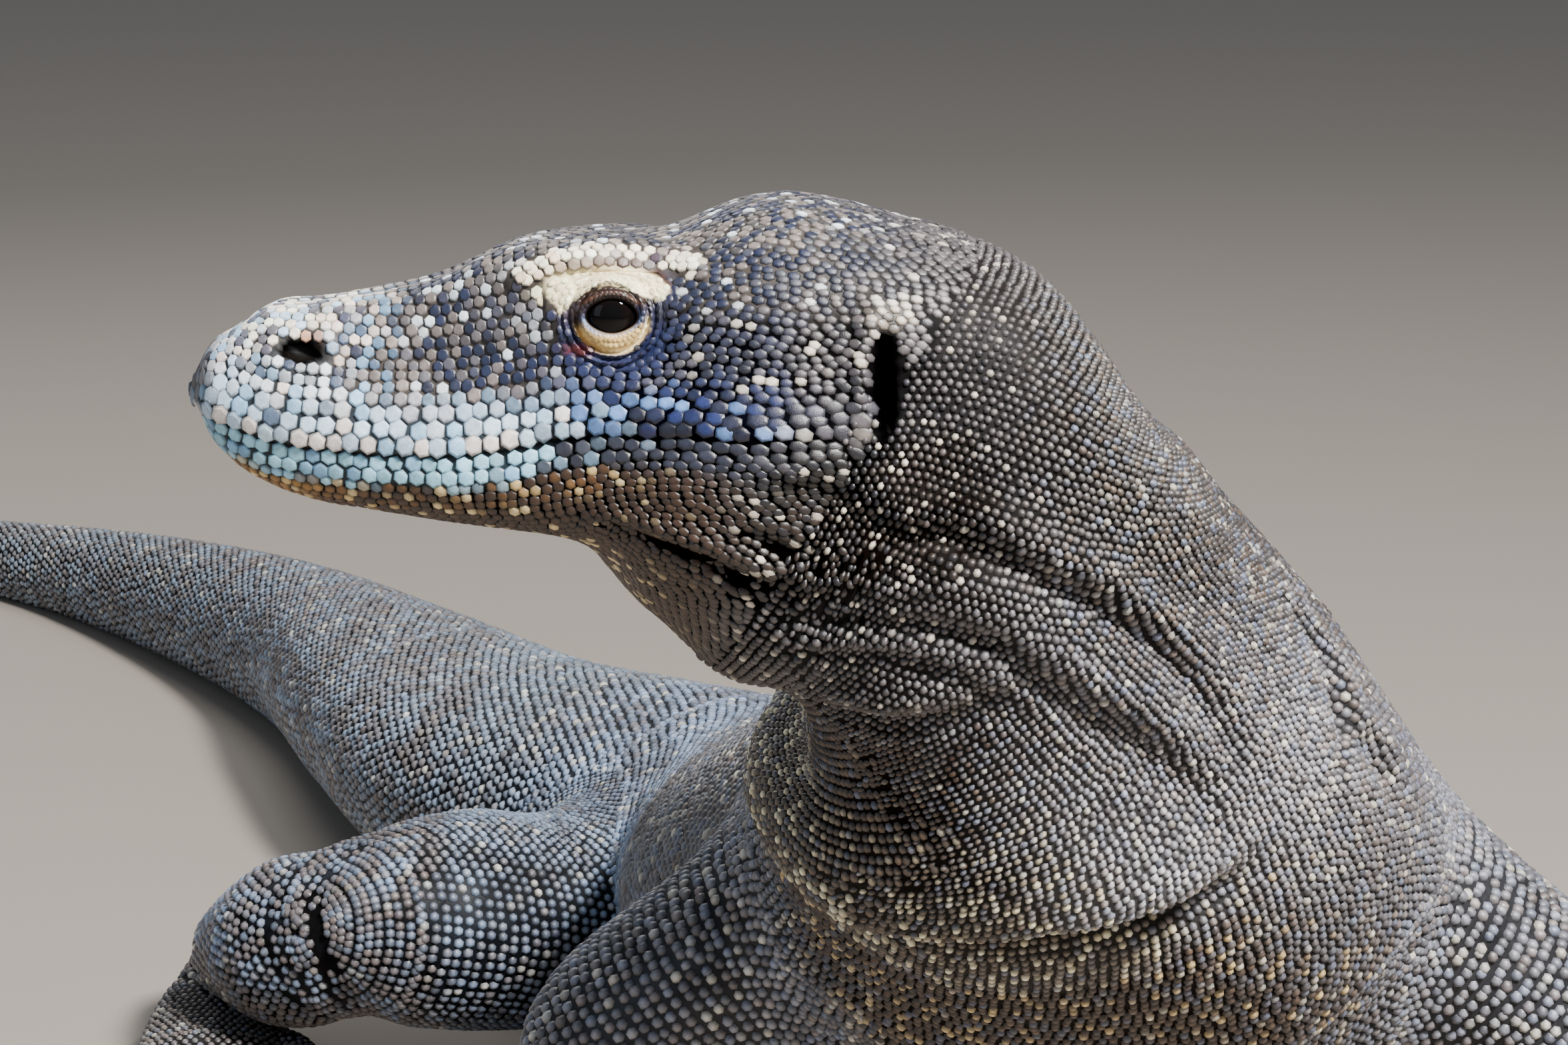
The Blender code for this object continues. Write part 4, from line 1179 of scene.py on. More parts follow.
class SkinProbe:
    """Finds the nearest place of the finished skin, for whole arrays of points."""

    def __init__(self, skin: bpy.types.Object) -> None:
        """Stores the skin's smooth normals and sets up the node tree that reads them."""
        normals = skin.data.attributes.new("skin_normal", "FLOAT_VECTOR", "POINT")
        normals.data.foreach_set("vector", vertex_normals(skin.data).astype(np.float32).ravel())
        tree = bpy.data.node_groups.new("nearest_on_skin", "GeometryNodeTree")
        tree.interface.new_socket("Geometry", in_out="INPUT", socket_type="NodeSocketGeometry")
        tree.interface.new_socket("Geometry", in_out="OUTPUT", socket_type="NodeSocketGeometry")
        nodes, link = tree.nodes, tree.links.new
        source = nodes.new("GeometryNodeObjectInfo")
        source.inputs["Object"].default_value = skin
        place, normal = nodes.new("GeometryNodeInputPosition"), nodes.new("GeometryNodeInputNamedAttribute")
        normal.data_type = "FLOAT_VECTOR"
        normal.inputs["Name"].default_value = "skin_normal"
        found = []
        for value in (place.outputs["Position"], normal.outputs["Attribute"]):
            sample = nodes.new("GeometryNodeSampleNearestSurface")
            sample.data_type = "FLOAT_VECTOR"
            link(source.outputs["Geometry"], sample.inputs["Mesh"])
            link(value, sample.inputs["Value"])
            found.append(sample.outputs["Value"])
        inside, outside = nodes.new("NodeGroupInput"), nodes.new("NodeGroupOutput")
        keep, move = nodes.new("GeometryNodeStoreNamedAttribute"), nodes.new("GeometryNodeSetPosition")
        keep.data_type, keep.domain = "FLOAT_VECTOR", "POINT"
        keep.inputs["Name"].default_value = "skin_normal"
        link(inside.outputs[0], keep.inputs["Geometry"])
        link(found[1], keep.inputs["Value"])
        link(keep.outputs["Geometry"], move.inputs["Geometry"])
        link(found[0], move.inputs["Position"])
        link(move.outputs["Geometry"], outside.inputs[0])
        self.tree = tree

    def nearest(self, points: Array) -> tuple[Array, Array]:
        """Returns the nearest place of the skin to each point, and its smooth normal there."""
        mesh = bpy.data.meshes.new("roots")
        mesh.vertices.add(len(points))
        mesh.vertices.foreach_set("co", points.astype(np.float32).ravel())
        made = bpy.data.objects.new("roots", mesh)
        bpy.context.scene.collection.objects.link(made)
        made.modifiers.new("nearest", "NODES").node_group = self.tree
        graph = bpy.context.evaluated_depsgraph_get()
        result = bpy.data.meshes.new_from_object(made.evaluated_get(graph))
        place = coordinates(result)
        normal = np.empty(len(points) * 3, np.float32)
        result.attributes["skin_normal"].data.foreach_get("vector", normal)
        for spare in (result, mesh):
            if spare is mesh:
                bpy.data.objects.remove(made)
            bpy.data.meshes.remove(spare)
        return place, unit(normal.reshape(-1, 3).astype(float))

    def clear(self) -> None:
        """Removes the node tree."""
        bpy.data.node_groups.remove(self.tree)


# ------------------------------------------------------------------ markings
def lay(base: Array, shade: tuple, share: Array) -> Array:
    """Returns colours with a shade laid over them by a share for each row."""
    return mix(base, np.broadcast_to(colour(*shade), base.shape), share)


@dataclass(frozen=True)
class Patch:
    """An oval of colour on the side of the head, in its forward and up measures."""

    forward: float
    up: float
    wide: float
    high: float
    shade: tuple[int, int, int]
    strength: float = 1.0
    lean: float = 0.0  # how much the oval climbs towards the snout

    def cover(self, forward: Array, up: Array, rough: Array) -> Array:
        """Returns how much of the patch's colour each place takes, with a ragged edge."""
        x = forward - self.forward
        away = np.hypot(x / self.wide, (up - self.up - self.lean * x) / self.high)
        return self.strength * rise(1.40, 0.75, away + 0.9 * (rough - 0.5))


FACE_PATCHES = (
    Patch(0.150, 0.006, 0.075, 0.034, (142, 142, 150)),  # the whole side of the snout
    Patch(0.176, 0.006, 0.032, 0.020, (208, 216, 224)),  # pale side of the snout
    Patch(0.150, 0.0300, 0.050, 0.0060, (88, 82, 78), 0.9, -0.20),  # dusty top of the snout
    Patch(0.172, 0.0225, 0.021, 0.0050, (246, 236, 216), 1.0, -0.20),  # cream over the nostril
    Patch(0.128, 0.012, 0.030, 0.013, (78, 76, 82), 0.95),  # hollow before the eye
    Patch(0.120, 0.026, 0.024, 0.009, (82, 77, 78), 0.9, -0.2),  # dusty band above it
    Patch(0.096, 0.006, 0.016, 0.009, (34, 44, 82), 0.9),
    Patch(0.040, 0.003, 0.036, 0.012, (22, 30, 62), 0.95),  # temple, below
    Patch(0.046, 0.024, 0.030, 0.014, (34, 37, 56), 0.95),  # temple, middle
    Patch(0.016, 0.014, 0.014, 0.018, (54, 49, 50), 0.9),  # warm grey before the ear
    Patch(0.040, 0.045, 0.040, 0.012, (54, 56, 66), 0.95),  # temple, above
    Patch(0.080, 0.0500, 0.060, 0.0080, (60, 57, 56), 0.95),  # dusty top of the head
    Patch(0.014, -0.022, 0.040, 0.013, (14, 11, 11), 0.98),  # corner of the jaw
    Patch(-0.012, -0.024, 0.014, 0.014, (68, 60, 56), 0.9),  # brown below the ear
    Patch(0.030, -0.038, 0.060, 0.014, (32, 21, 13), 0.95),  # under the jaw, behind
    Patch(0.000, 0.0250, 0.0070, 0.0030, (200, 184, 164), 0.8),  # pale edge over the ear
)
LID_FOOT = np.array([
    (-0.0160, 0.0056), (-0.0130, 0.0044), (-0.0087, 0.0058), (-0.0043, 0.0076), (0.0004, 0.0088),
    (0.0048, 0.0081), (0.0078, 0.0063), (0.0117, 0.0028), (0.0150, -0.0006), (0.0172, 0.0024),
    (0.0260, 0.0052),
])  # (forward, up) from the eye, of the lower edge of the upper lid's cream
LID_TOP = np.array([
    (-0.0165, 0.0080), (-0.0130, 0.0108), (-0.0065, 0.0132), (0.0000, 0.0140), (0.0043, 0.0140),
    (0.0095, 0.0133), (0.0156, 0.0118), (0.0217, 0.0082),
])  # the same, of the crease between lid and brow
DIRT = (82, 74, 68)


class Markings:
    """The animal's colours as a function of place, shared by skin and scales."""

    def __init__(self, body: Body, limbs: list[Limb]) -> None:
        """Keeps what places are measured from."""
        self.body, self.limbs = body, limbs

    def tint(self, points: Array, luck: Array) -> Array:
        """Returns a linear colour for each point.

        Args:
            points: (n, 3).
            luck: a number from 0 to 1 for each, from which its own chances are drawn; 0.5 for
                the bare skin, which takes none.

        Returns:
            (n, 3).
        """
        along, around = self.body.locate(points)
        turn = np.minimum(around, 8.0 - around)
        cells = np.floor(luck[:, None] * (7919, 104729, 1299709))
        plain = luck == 0.5
        coins = np.stack([np.where(plain, 0.5, hashed(cells, seed)) for seed in (3, 4, 5)])
        coarse, fine = noise(points, 0.045, 11), noise(points, 0.009, 12)
        tint = self.spine(along, turn, coarse, fine, coins[0])
        tint = self.legs(points, tint, coarse, fine)
        hue = np.where(coins[1] > 0.5, rise(0.7, 1.0, coins[1]), 0.0)
        tint = lay(tint, (112, 128, 160), 0.35 * hue)
        tint = lay(tint, (120, 96, 74), 0.35 * rise(0.3, 0.0, coins[1]))
        speck = rise(0.86, 1.0, coins[2]) * rise(0.20, 0.26, along) * rise(3.7, 3.1, turn)
        tint = lay(tint, (210, 204, 186), 0.55 * speck)
        tint = lay(tint, (38, 34, 38), 0.6 * rise(0.14, 0.0, coins[2]))
        # Painted light: the tail is made brighter than the rest, 1.1 against 0.8, to make up for the weaker
        # light that reaches it.
        tint = tint * (0.80 + 0.30 * rise(1.1, 1.4, along))[:, None]
        tint = self.head(points, along, tint, fine, coins)
        tone = 0.72 + 0.56 * coins[0]
        return np.clip(tint * tone[:, None], 0.002, 0.95)

    def spine(self, along: Array, turn: Array, coarse: Array, fine: Array, coin: Array) -> Array:
        """Returns the colours of neck, trunk and tail."""
        rough = 0.45 * (coarse - 0.5) + 0.3 * (fine - 0.5) + 0.5 * (coin - 0.5)
        tint = np.tile(colour(90, 87, 91), (len(along), 1))
        tint = lay(tint, (54, 50, 50), rise(1.7, 0.8, turn + rough))
        tint = lay(tint, (70, 66, 64), 0.80 * rise(0.285, 0.215, along) * rise(2.4, 1.5, turn + rough))
        tint = lay(tint, (160, 158, 164), hill(turn - 2.75 + rough, 0.50) * hill(along - 0.305, 0.035))
        tint = lay(tint, (148, 146, 152), 0.7 * hill(turn - 2.1 + rough, 0.5) * hill(along - 0.335, 0.03))
        throat = rise(2.75, 3.2, turn + rough) * rise(0.17, 0.20, along) * rise(0.315, 0.265, along)
        tint = lay(tint, (48, 28, 12), throat)
        pouch = rise(2.7, 3.1, turn + rough) * rise(0.265, 0.30, along) * rise(0.352, 0.338, along)
        tint = lay(tint, (96, 82, 66), 0.85 * pouch)
        tint = lay(tint, (226, 214, 178), pouch * rise(0.62, 0.85, coin))
        chest = rise(2.5, 3.1, turn + rough) * rise(0.340, 0.352, along) * rise(0.62, 0.47, along)
        tint = lay(tint, (62, 44, 29), 0.95 * chest)
        tint = lay(tint, (196, 170, 120), chest * rise(0.80, 0.95, coin) * 0.8)
        trunk = rise(0.40, 0.52, along)
        tint = lay(tint, (90, 92, 98), trunk * 0.85)
        tint = lay(tint, (74, 70, 70), trunk * rise(0.45, 0.62, coarse + 0.2 * (coin - 0.5)) * 0.7)
        tint = lay(tint, (92, 82, 72), trunk * rise(3.0, 3.5, turn) * 0.8)
        # The tail's blue-grey is partly its own colour and partly painted shade, the blue of the sky light
        # in the shade it lies in; paler and bluer still towards the tip.
        tail = rise(1.10, 1.32, along + 0.2 * rough)
        tint = lay(tint, (124, 140, 159), tail * 0.9)
        tint = lay(tint, (102, 114, 128), tail * rise(1.3, 0.6, turn + rough) * 0.9)
        tint = lay(tint, (146, 142, 134), tail * rise(3.1, 3.5, turn) * 0.6)
        band = 0.5 + 0.5 * np.sin(along * 62.0 + 3.0 * coarse)
        tint = lay(tint, (98, 94, 92), tail * rise(0.55, 0.9, band) * 0.35)
        return lay(tint, (142, 152, 160), tail * rise(1.9, 2.6, along) * 0.5)

    def legs(self, points: Array, tint: Array, coarse: Array, fine: Array) -> Array:
        """Returns the colours with those of the legs laid on."""
        for limb in self.limbs:
            hind = limb.foot_name == "foot"
            far = np.full(len(points), 9.0)
            for tube in limb.tubes:
                radius = tube.handles[:, 2, 0]
                for k in range(len(tube.centres) - 1):
                    start, end = tube.centres[k], tube.centres[k + 1]
                    span = end - start
                    t = np.clip((points - start) @ span / (span @ span), 0, 1)
                    gap = np.linalg.norm(points - start - t[:, None] * span, axis=1)
                    far = np.minimum(far, gap / (radius[k] + (radius[k + 1] - radius[k]) * t))
            cover = rise(1.6, 1.1, far)
            # The hind legs' bluer grey is partly their own colour and partly painted shade, the blue of the
            # sky light that reaches them in shade.
            tint = lay(tint, (128, 147, 174) if hind else (118, 119, 128), cover * 0.9)
            blotch = rise(0.40, 0.62, 0.6 * coarse + 0.4 * fine)
            tint = lay(tint, (74, 74, 80), cover * blotch * 0.7)
            reach = np.linalg.norm(points - limb.palm.centres[1], axis=1)
            foot = rise(0.17, 0.10, reach) * rise(0.075, 0.055, points[:, 2])
            tint = lay(tint, (98, 92, 88), foot * 0.85)
        return tint

    def head(self, points: Array, along: Array, tint: Array, fine: Array, coins: Array) -> Array:
        """Returns the colours with those of the head laid on."""
        forward, up, aside = head_measures(points)
        scaled = coins[2] != 0.5
        rough = 0.65 * fine + 0.35 * noise(points, 0.0035, 13) + 0.55 * (coins[0] - 0.5)
        here = rise(0.262, 0.215, along) * rise(-0.055, -0.02, forward)
        face = lay(tint, (76, 71, 72), here)
        for patch in FACE_PATCHES:
            face = lay(face, patch.shade, patch.cover(forward, up, rough) * here)
        mouth = up - np.interp(forward, MOUTH[::-1, 0], MOUTH[::-1, 1])
        behind = rise(0.075, 0.045, forward) * here * scaled
        face = lay(face, (186, 176, 160), behind * rise(0.88, 0.95, coins[1]) * 0.85)
        face = lay(face, (18, 18, 25), behind * rise(0.36, 0.10, coins[1]) * 0.75)
        # Navy, tan and pale scales among the dust of the snout's side and the head's top.
        dusty = self.dirt(points) * scaled
        face = lay(face, (20, 27, 52), dusty * rise(0.44, 0.38, coins[1]) * 0.95)
        face = lay(face, (112, 102, 96), dusty * rise(0.60, 0.66, coins[1]) * 0.8)
        face = lay(face, (204, 214, 222), dusty * rise(0.88, 0.92, coins[1]))
        pale = rise(0.135, 0.155, forward) * rise(-0.011, -0.004, mouth) * here * scaled
        face = lay(face, (140, 186, 222), pale * rise(0.40, 0.20, coins[1]) * 0.8)
        face = lay(face, (238, 214, 196), pale * rise(0.80, 0.86, coins[1]) * 0.7)
        face = lay(face, (46, 50, 74), pale * rise(0.72, 0.78, coins[2]) * 0.9)
        face = self.lips(face, forward, mouth, rough, coins, here)
        brow, part = line_distance(np.stack([forward, up], axis=1), np.array(Body.brow))
        ends = rise(0.0, 0.05, part) * rise(1.0, 0.94, part) * rise(0.0295, 0.0320, np.abs(aside))
        ridge = rise(0.0042, 0.0030, brow) * rise(-0.0050, -0.0038, brow + 0.0016 * (rough - 0.5))
        ridge = ridge * here * ends
        face = lay(face, (246, 232, 208), ridge)
        face = lay(face, (242, 208, 176), ridge * rise(0.40, 0.2, part) * (0.2 + 0.6 * coins[1]))
        spot = np.hypot((forward - EYE[0] + 0.0125) / 0.0036, (up - EYE[1] - 0.0158) / 0.0018)
        face = lay(face, (58, 46, 56), rise(1.25, 0.8, spot) * here)
        tip = rise(0.188, 0.200, forward) * rise(0.42, 0.62, rough)
        face = lay(face, (84, 72, 66), tip * 0.75)
        return self.openings(face, forward, up, aside, rough, here)

    def dirt(self, points: Array) -> Array:
        """Returns how much dry dirt lies between the scales of each place, 0 to 1."""
        forward, up, _ = head_measures(points)
        mouth = up - np.interp(forward, MOUTH[::-1, 0], MOUTH[::-1, 1])
        clear = noise(points, 0.012, 14)
        side = rise(0.164, 0.146, forward + 0.02 * (clear - 0.5)) * rise(0.0125, 0.0165, mouth)
        low = rise(0.020, 0.034, up) + rise(0.085, 0.100, forward)
        back = rise(-0.015, 0.020, forward) * np.clip(low, 0.0, 1.0)
        top = rise(0.170, 0.156, forward) * rise(0.0250, 0.0285, up + 0.25 * (forward - 0.16))
        return np.clip(np.maximum(side * back, top * back), 0, 1) * (0.55 + 0.45 * rise(0.3, 0.6, clear))

    def lips(self, face: Array, forward: Array, mouth: Array, rough: Array, coins: Array,
             here: Array) -> Array:
        """Returns the face's colours with those of the plates along the mouth."""
        held = rise(0.020, 0.045, forward) * here
        front = rise(0.080, 0.112, forward + 0.03 * (coins[0] - 0.5))
        upper = rise(-0.001, 0.0005, mouth) * rise(0.0160, 0.0100, mouth + 0.008 * (rough - 0.5))
        face = lay(face, (22, 32, 74), upper * held * (1 - front))
        face = lay(face, (20, 21, 32), upper * held * (1 - front) * rise(0.40, 0.25, coins[1]) * 0.8)
        blue = rise(0.80 - 0.45 * rise(0.045, 0.085, forward), 0.95, coins[1])
        face = lay(face, (104, 142, 200), upper * held * (1 - front) * blue)
        face = lay(face, (186, 212, 232), upper * held * front * 0.95)
        face = lay(face, (138, 186, 222), upper * held * front * rise(0.45, 0.2, coins[1]) * 0.8)
        face = lay(face, (240, 220, 204), upper * held * front * rise(0.78, 0.9, coins[1]) * 0.7)
        face = lay(face, (56, 58, 78), upper * held * front * rise(0.88, 0.93, coins[2])
                   * rise(0.004, 0.008, mouth) * 0.85)
        under = rise(-0.0068, -0.0100, mouth + 0.003 * (rough - 0.5)) * here
        face = lay(face, (50, 31, 16), under * rise(0.035, 0.060, forward))
        ochre = under * rise(-0.0190, -0.0130, mouth) * rise(0.06, 0.10, forward)
        face = lay(face, (94, 62, 25), ochre * rise(0.25, 0.6, coins[1]) * 0.9)
        face = lay(face, (176, 128, 50), ochre * rise(0.150, 0.180, forward) * 0.45)
        face = lay(face, (222, 192, 130), ochre * rise(0.80, 0.9, coins[1]) * 0.9)
        face = lay(face, (214, 190, 140), under * rise(0.05, 0.08, forward)
                   * rise(0.90, 0.96, coins[2]) * 0.8)
        lower = rise(0.0005, -0.0008, mouth) * rise(-0.0105, -0.0080, mouth + 0.003 * (rough - 0.5))
        face = lay(face, (142, 192, 212), lower * held * front)
        face = lay(face, (106, 150, 190), lower * held * front * rise(0.4, 0.1, coins[1]) * 0.7)
        face = lay(face, (66, 62, 66), lower * held * front * rise(0.90, 0.94, coins[2])
                   * rise(-0.003, -0.006, mouth) * 0.8)
        face = lay(face, (28, 30, 44), lower * held * (1 - front) * 0.95)
        light = rise(0.75, 0.9, coins[1]) * rise(0.055, 0.085, forward)
        face = lay(face, (150, 176, 200), lower * held * (1 - front) * light)
        # Painted shade: a dark line in the groove where the lips meet.
        return lay(face, (50, 40, 38), hill(mouth, 0.0007) * held * 0.75)

    def openings(self, face: Array, forward: Array, up: Array, aside: Array, rough: Array,
                 here: Array) -> Array:
        """Returns the face's colours with those of the eye's lids, and painted shade, near black, inside the
        nostril and the ear.

        The upper lid is a cream arch between its foot and the crease under the brow; the lower
        is an ochre crescent with a pale rim, over navy wrinkles.
        """
        x, y = forward - EYE[0], up - EYE[1]
        radius, sine = np.hypot(x, y), np.sin(np.arctan2(y, x))
        edge = radius / lid_edge(np.arctan2(y, x))
        out = rise(0.028, 0.033, np.abs(aside)) * here
        ragged = 0.0020 * (rough - 0.5)
        below = rise(0.15, -0.25, sine)
        wide = np.hypot(x + 0.001, (y + 0.002) * 1.05)
        face = lay(face, (26, 34, 70), rise(0.0215, 0.0170, wide + 2 * ragged) * out * 0.95)
        face = lay(face, (34, 31, 36), hill(x + 0.0150, 0.0050) * hill(y - 0.0010, 0.0050) * out * 0.8)
        face = lay(face, (56, 38, 32), hill(x - 0.0105, 0.0040) * hill(y - 0.0005, 0.0038) * out * 0.9)
        face = lay(face, (132, 136, 142), hill(x - 0.0200, 0.0035) * hill(y + 0.0040, 0.0060)
                   * rise(0.45, 0.60, rough) * out)
        foot, top = np.interp(x, *LID_FOOT.T), np.interp(x, *LID_TOP.T)
        face = lay(face, (36, 21, 16), rise(foot + 0.0010, foot, y) * rise(0.0010, 0.0040, y)
                   * rise(0.0125, 0.0100, np.abs(x)) * out)
        cream = rise(foot - 0.0004, foot + 0.0006, y + 0.7 * ragged)
        cream *= rise(0.0260, 0.0225, x + ragged) * rise(-0.0172, -0.0150, x + ragged)
        under = rise(top + 0.0008, top - 0.0004, y + 0.5 * ragged)
        face = lay(face, (247, 232, 188), cream * under * out)
        face = lay(face, (138, 110, 78), hill(y - foot - 0.62 * (top - foot), 0.00035)
                   * rise(0.012, 0.009, np.abs(x)) * out * 0.6)
        crease = hill(y - top - 0.0004, 0.0010) * rise(0.0225, 0.0190, x) * rise(-0.018, -0.015, x)
        face = lay(face, (120, 74, 40), crease * out * 0.5)
        face = lay(face, (50, 32, 26), crease * out * rise(0.50, 0.64, rough) * 0.9)
        crescent = rise(0.0116, 0.0104, np.hypot(x, y - 0.0002) + 0.5 * ragged)
        crescent = crescent * rise(-0.10, -0.50, sine)
        face = lay(face, (222, 186, 118), crescent * out)
        face = lay(face, (244, 226, 180), hill(radius - 0.0102, 0.0007) * below
                   * rise(0.004, -0.002, x) * out)
        face = lay(face, (166, 74, 62), hill(x - 0.0098, 0.0035) * hill(y + 0.0098, 0.0014) * out * 0.7)
        face = lay(face, (116, 132, 176), hill(edge - 1.14, 0.06) * below * out * 0.85)
        face = lay(face, (84, 100, 138), hill(edge - 1.2, 0.15) * hill(x - 0.006, 0.003)
                   * rise(0.001, -0.001, y) * out * 0.8)
        lined = hill(edge - 1.36, 0.06) * rise(0.1, 0.5, sine)
        face = lay(face, (96, 54, 32), lined * out * 0.6)
        face = lay(face, (22, 14, 12), rise(1.13, 1.03, edge) * out)
        nose = np.hypot((forward - 0.1683) / 0.0068, (up - 0.0135) / 0.0036)
        side = rise(0.020, 0.026, np.abs(aside))
        rim = hill(nose - 1.2, 0.25) * rise(0.002, 0.004, up - 0.0125) * rise(0.004, -0.002, forward - 0.168)
        face = lay(face, (190, 116, 50), rim * side * here * 0.8)
        # Painted shade: the inside of the nostril, near black.
        face = lay(face, (12, 7, 6), rise(1.10, 0.92, nose) * side * here)
        ear = np.hypot((forward - 0.0012) / 0.0036, (up - 0.0070) / 0.0146)
        # Painted shade: the inside of the ear's slit, near black.
        return lay(face, (2, 2, 2), rise(1.14, 1.02, ear) * side * here)


# ------------------------------------------------------------------ scales
@dataclass
class Bed:
    """Scales that are to be laid: where each is rooted, how it lies, and its size."""

    roots: Array  # (n, 3)
    backs: Array  # the way each points, (n, 3)
    normals: Array  # (n, 3)
    sizes: Array  # half width, half length, height, and how far the back edge lifts, (n, 4)
    chart: Array  # place on the unwrapped hide in metres, (n, 2)

    def keep(self, chosen: Array) -> "Bed":
        """Returns the bed with only the chosen scales."""
        return Bed(self.roots[chosen], self.backs[chosen], self.normals[chosen],
                   self.sizes[chosen], self.chart[chosen])

    @staticmethod
    def join(beds: list["Bed"]) -> "Bed":
        """Returns one bed made of several."""
        return Bed(*(np.concatenate([getattr(bed, name) for bed in beds])
                     for name in ("roots", "backs", "normals", "sizes", "chart")))


class Dome(Enum):
    """Shapes of scale: sides, rings of (radius, height) out to a sunken rim, and the share of
    the tint at the top and at each ring, a painted highlight on the top and painted shade
    down to the rim."""

    BEAD = (6, ((0.64, 0.80), (1.03, -0.34)), (1.70, 0.96, 0.08))
    SHINGLE = (6, ((0.62, 0.82), (1.02, -0.30)), (1.35, 1.00, 0.22))
    PLATE = (6, ((0.62, 0.98), (0.85, 0.86), (1.07, -0.55)), (1.12, 1.08, 0.74, 0.02))
    COBBLE = (6, ((0.56, 0.90), (0.86, 0.58), (1.06, -0.50)), (1.34, 1.08, 0.58, 0.03))
    GRAIN = (6, ((0.62, 0.78), (1.06, -0.40)), (1.08, 1.0, 0.52))


def laid_across(tube: Tube, first: float, last: float, size: tuple, height: float, lift: float,
                seed: int, chart_from: float = 0.0) -> Bed:
    """Lays scales in rows across a tube, every second row shifted by half a scale.

    Rows are as close as the stretched side of a bend needs.  On its squeezed side every second
    row, or three rows of four, is left out, and the scales of the others are that much longer.

    Args:
        tube: the tube.
        first: `along` of the first row.
        last: `along` of the last.
        size: a scale's width at the first row and at the last.
        height: its height as a share of its width.
        lift: how far its back edge lifts on the upper side, as a share of its height.
        seed: for the small irregularities.
        chart_from: where this tube starts on the unwrapped hide.

    Returns:
        The bed.
    """
    chance = np.random.default_rng(seed)
    probes = np.linspace(first, last, 30)
    samples = np.tile(np.arange(16) * 0.5, 30)
    _, by_along, _, _ = Tube.lie(tube, np.repeat(probes, 16), samples)
    most = np.percentile(np.linalg.norm(by_along, axis=1).reshape(30, 16), 88, axis=1)
    places = even_places(first, last, probes, 1.05 * np.interp(probes, (first, last), size) / most)
    wide = np.interp(places, (first, last), size)
    turns, arcs = tube.arcs(places)
    whole = arcs[:, -1]
    counts = np.maximum(np.round(whole / wide).astype(int), 6)
    row = np.repeat(np.arange(len(places)), counts)
    number = np.arange(len(row)) - np.repeat(np.cumsum(counts) - counts, counts)
    jitter = chance.uniform(-0.12, 0.12, (len(row), 2))
    distance = whole[row] * np.mod((number + 0.5 * (row % 2) + jitter[:, 0]) / counts[row], 1.0)
    around = read_rows(arcs, turns, row, distance)
    steps = np.gradient(places)
    along = np.clip(places[row] + steps[row] * jitter[:, 1], tube.knots[0], tube.knots[-1])
    place, by_along, by_around, normal = tube.lie(along, around)
    plain = np.linalg.norm(tube.point(along, around + 0.02) - tube.point(along, around - 0.02), axis=1)
    steep = np.clip(np.linalg.norm(by_around, axis=1) * 0.04 / plain, 1.0, 1.7)
    stretch = np.linalg.norm(by_along, axis=1)
    crowded = steps[row] * stretch / wide[row] * chance.uniform(0.92, 1.08, len(row))
    level = np.where(crowded > 0.68, 1, np.where(crowded > 0.34, 2, 4))
    turn = np.minimum(around, 8.0 - around)
    tall = height * wide[row]
    sizes = np.stack([0.5 * steep * whole[row] / counts[row], 0.5 * steps[row] * stretch * level, tall,
                      tall * lift * rise(3.0, 2.0, turn)], axis=1)
    sizes *= chance.uniform(0.92, 1.10, (len(row), 1))
    chart = np.stack([along - tube.knots[0] + chart_from, distance], axis=1)
    return Bed(place, unit(by_along), normal, sizes, chart).keep(row % level == 0)


def laid_on_end(tube: Tube, size: float, height: float, seed: int, chart_from: float,
                way: int = 1) -> Bed:
    """Lays scales over the dome at a tube's end, in rings from its rim to its top.

    With `way` -1 it is the dome at the tube's start.
    """
    chance = np.random.default_rng(seed)
    beds = []
    end = tube.knots[-1] if way > 0 else tube.knots[0]
    rim = tube.point(np.full(64, end), np.arange(64) / 8.0)
    middle = rim.mean(axis=0)
    depth = np.linalg.norm(rim - middle, axis=1).mean()
    out = unit((rim - tube.point(np.full(64, end - 0.002 * way), np.arange(64) / 8.0)).mean(axis=0))
    for number, angle in enumerate(np.arange(0.3 * size / depth, math.pi / 2, size / depth)):
        count = max(int(round(2 * math.pi * depth * math.cos(angle) / size)), 1)
        turns = (np.arange(count) + 0.5 * (number % 2) + chance.uniform(-0.1, 0.1, count)) * 8 / count
        spoke = tube.point(np.full(count, end), np.mod(turns, 8.0)) - middle
        place = middle + spoke * math.cos(angle) + out * depth * math.sin(angle)
        normal = unit(unit(spoke) * math.cos(angle) + out * math.sin(angle))
        back = unit(out * math.cos(angle) - unit(spoke) * math.sin(angle))
        sizes = np.tile([size * 0.5, size * 0.5, height * size, 0.0], (count, 1))
        chart = np.stack([np.full(count, end - tube.knots[0] + depth * angle * way + chart_from),
                          np.mod(turns, 8.0) / 8 * 0.2], axis=1)
        beds.append(Bed(place, back, normal, sizes, chart))
    return Bed.join(beds)


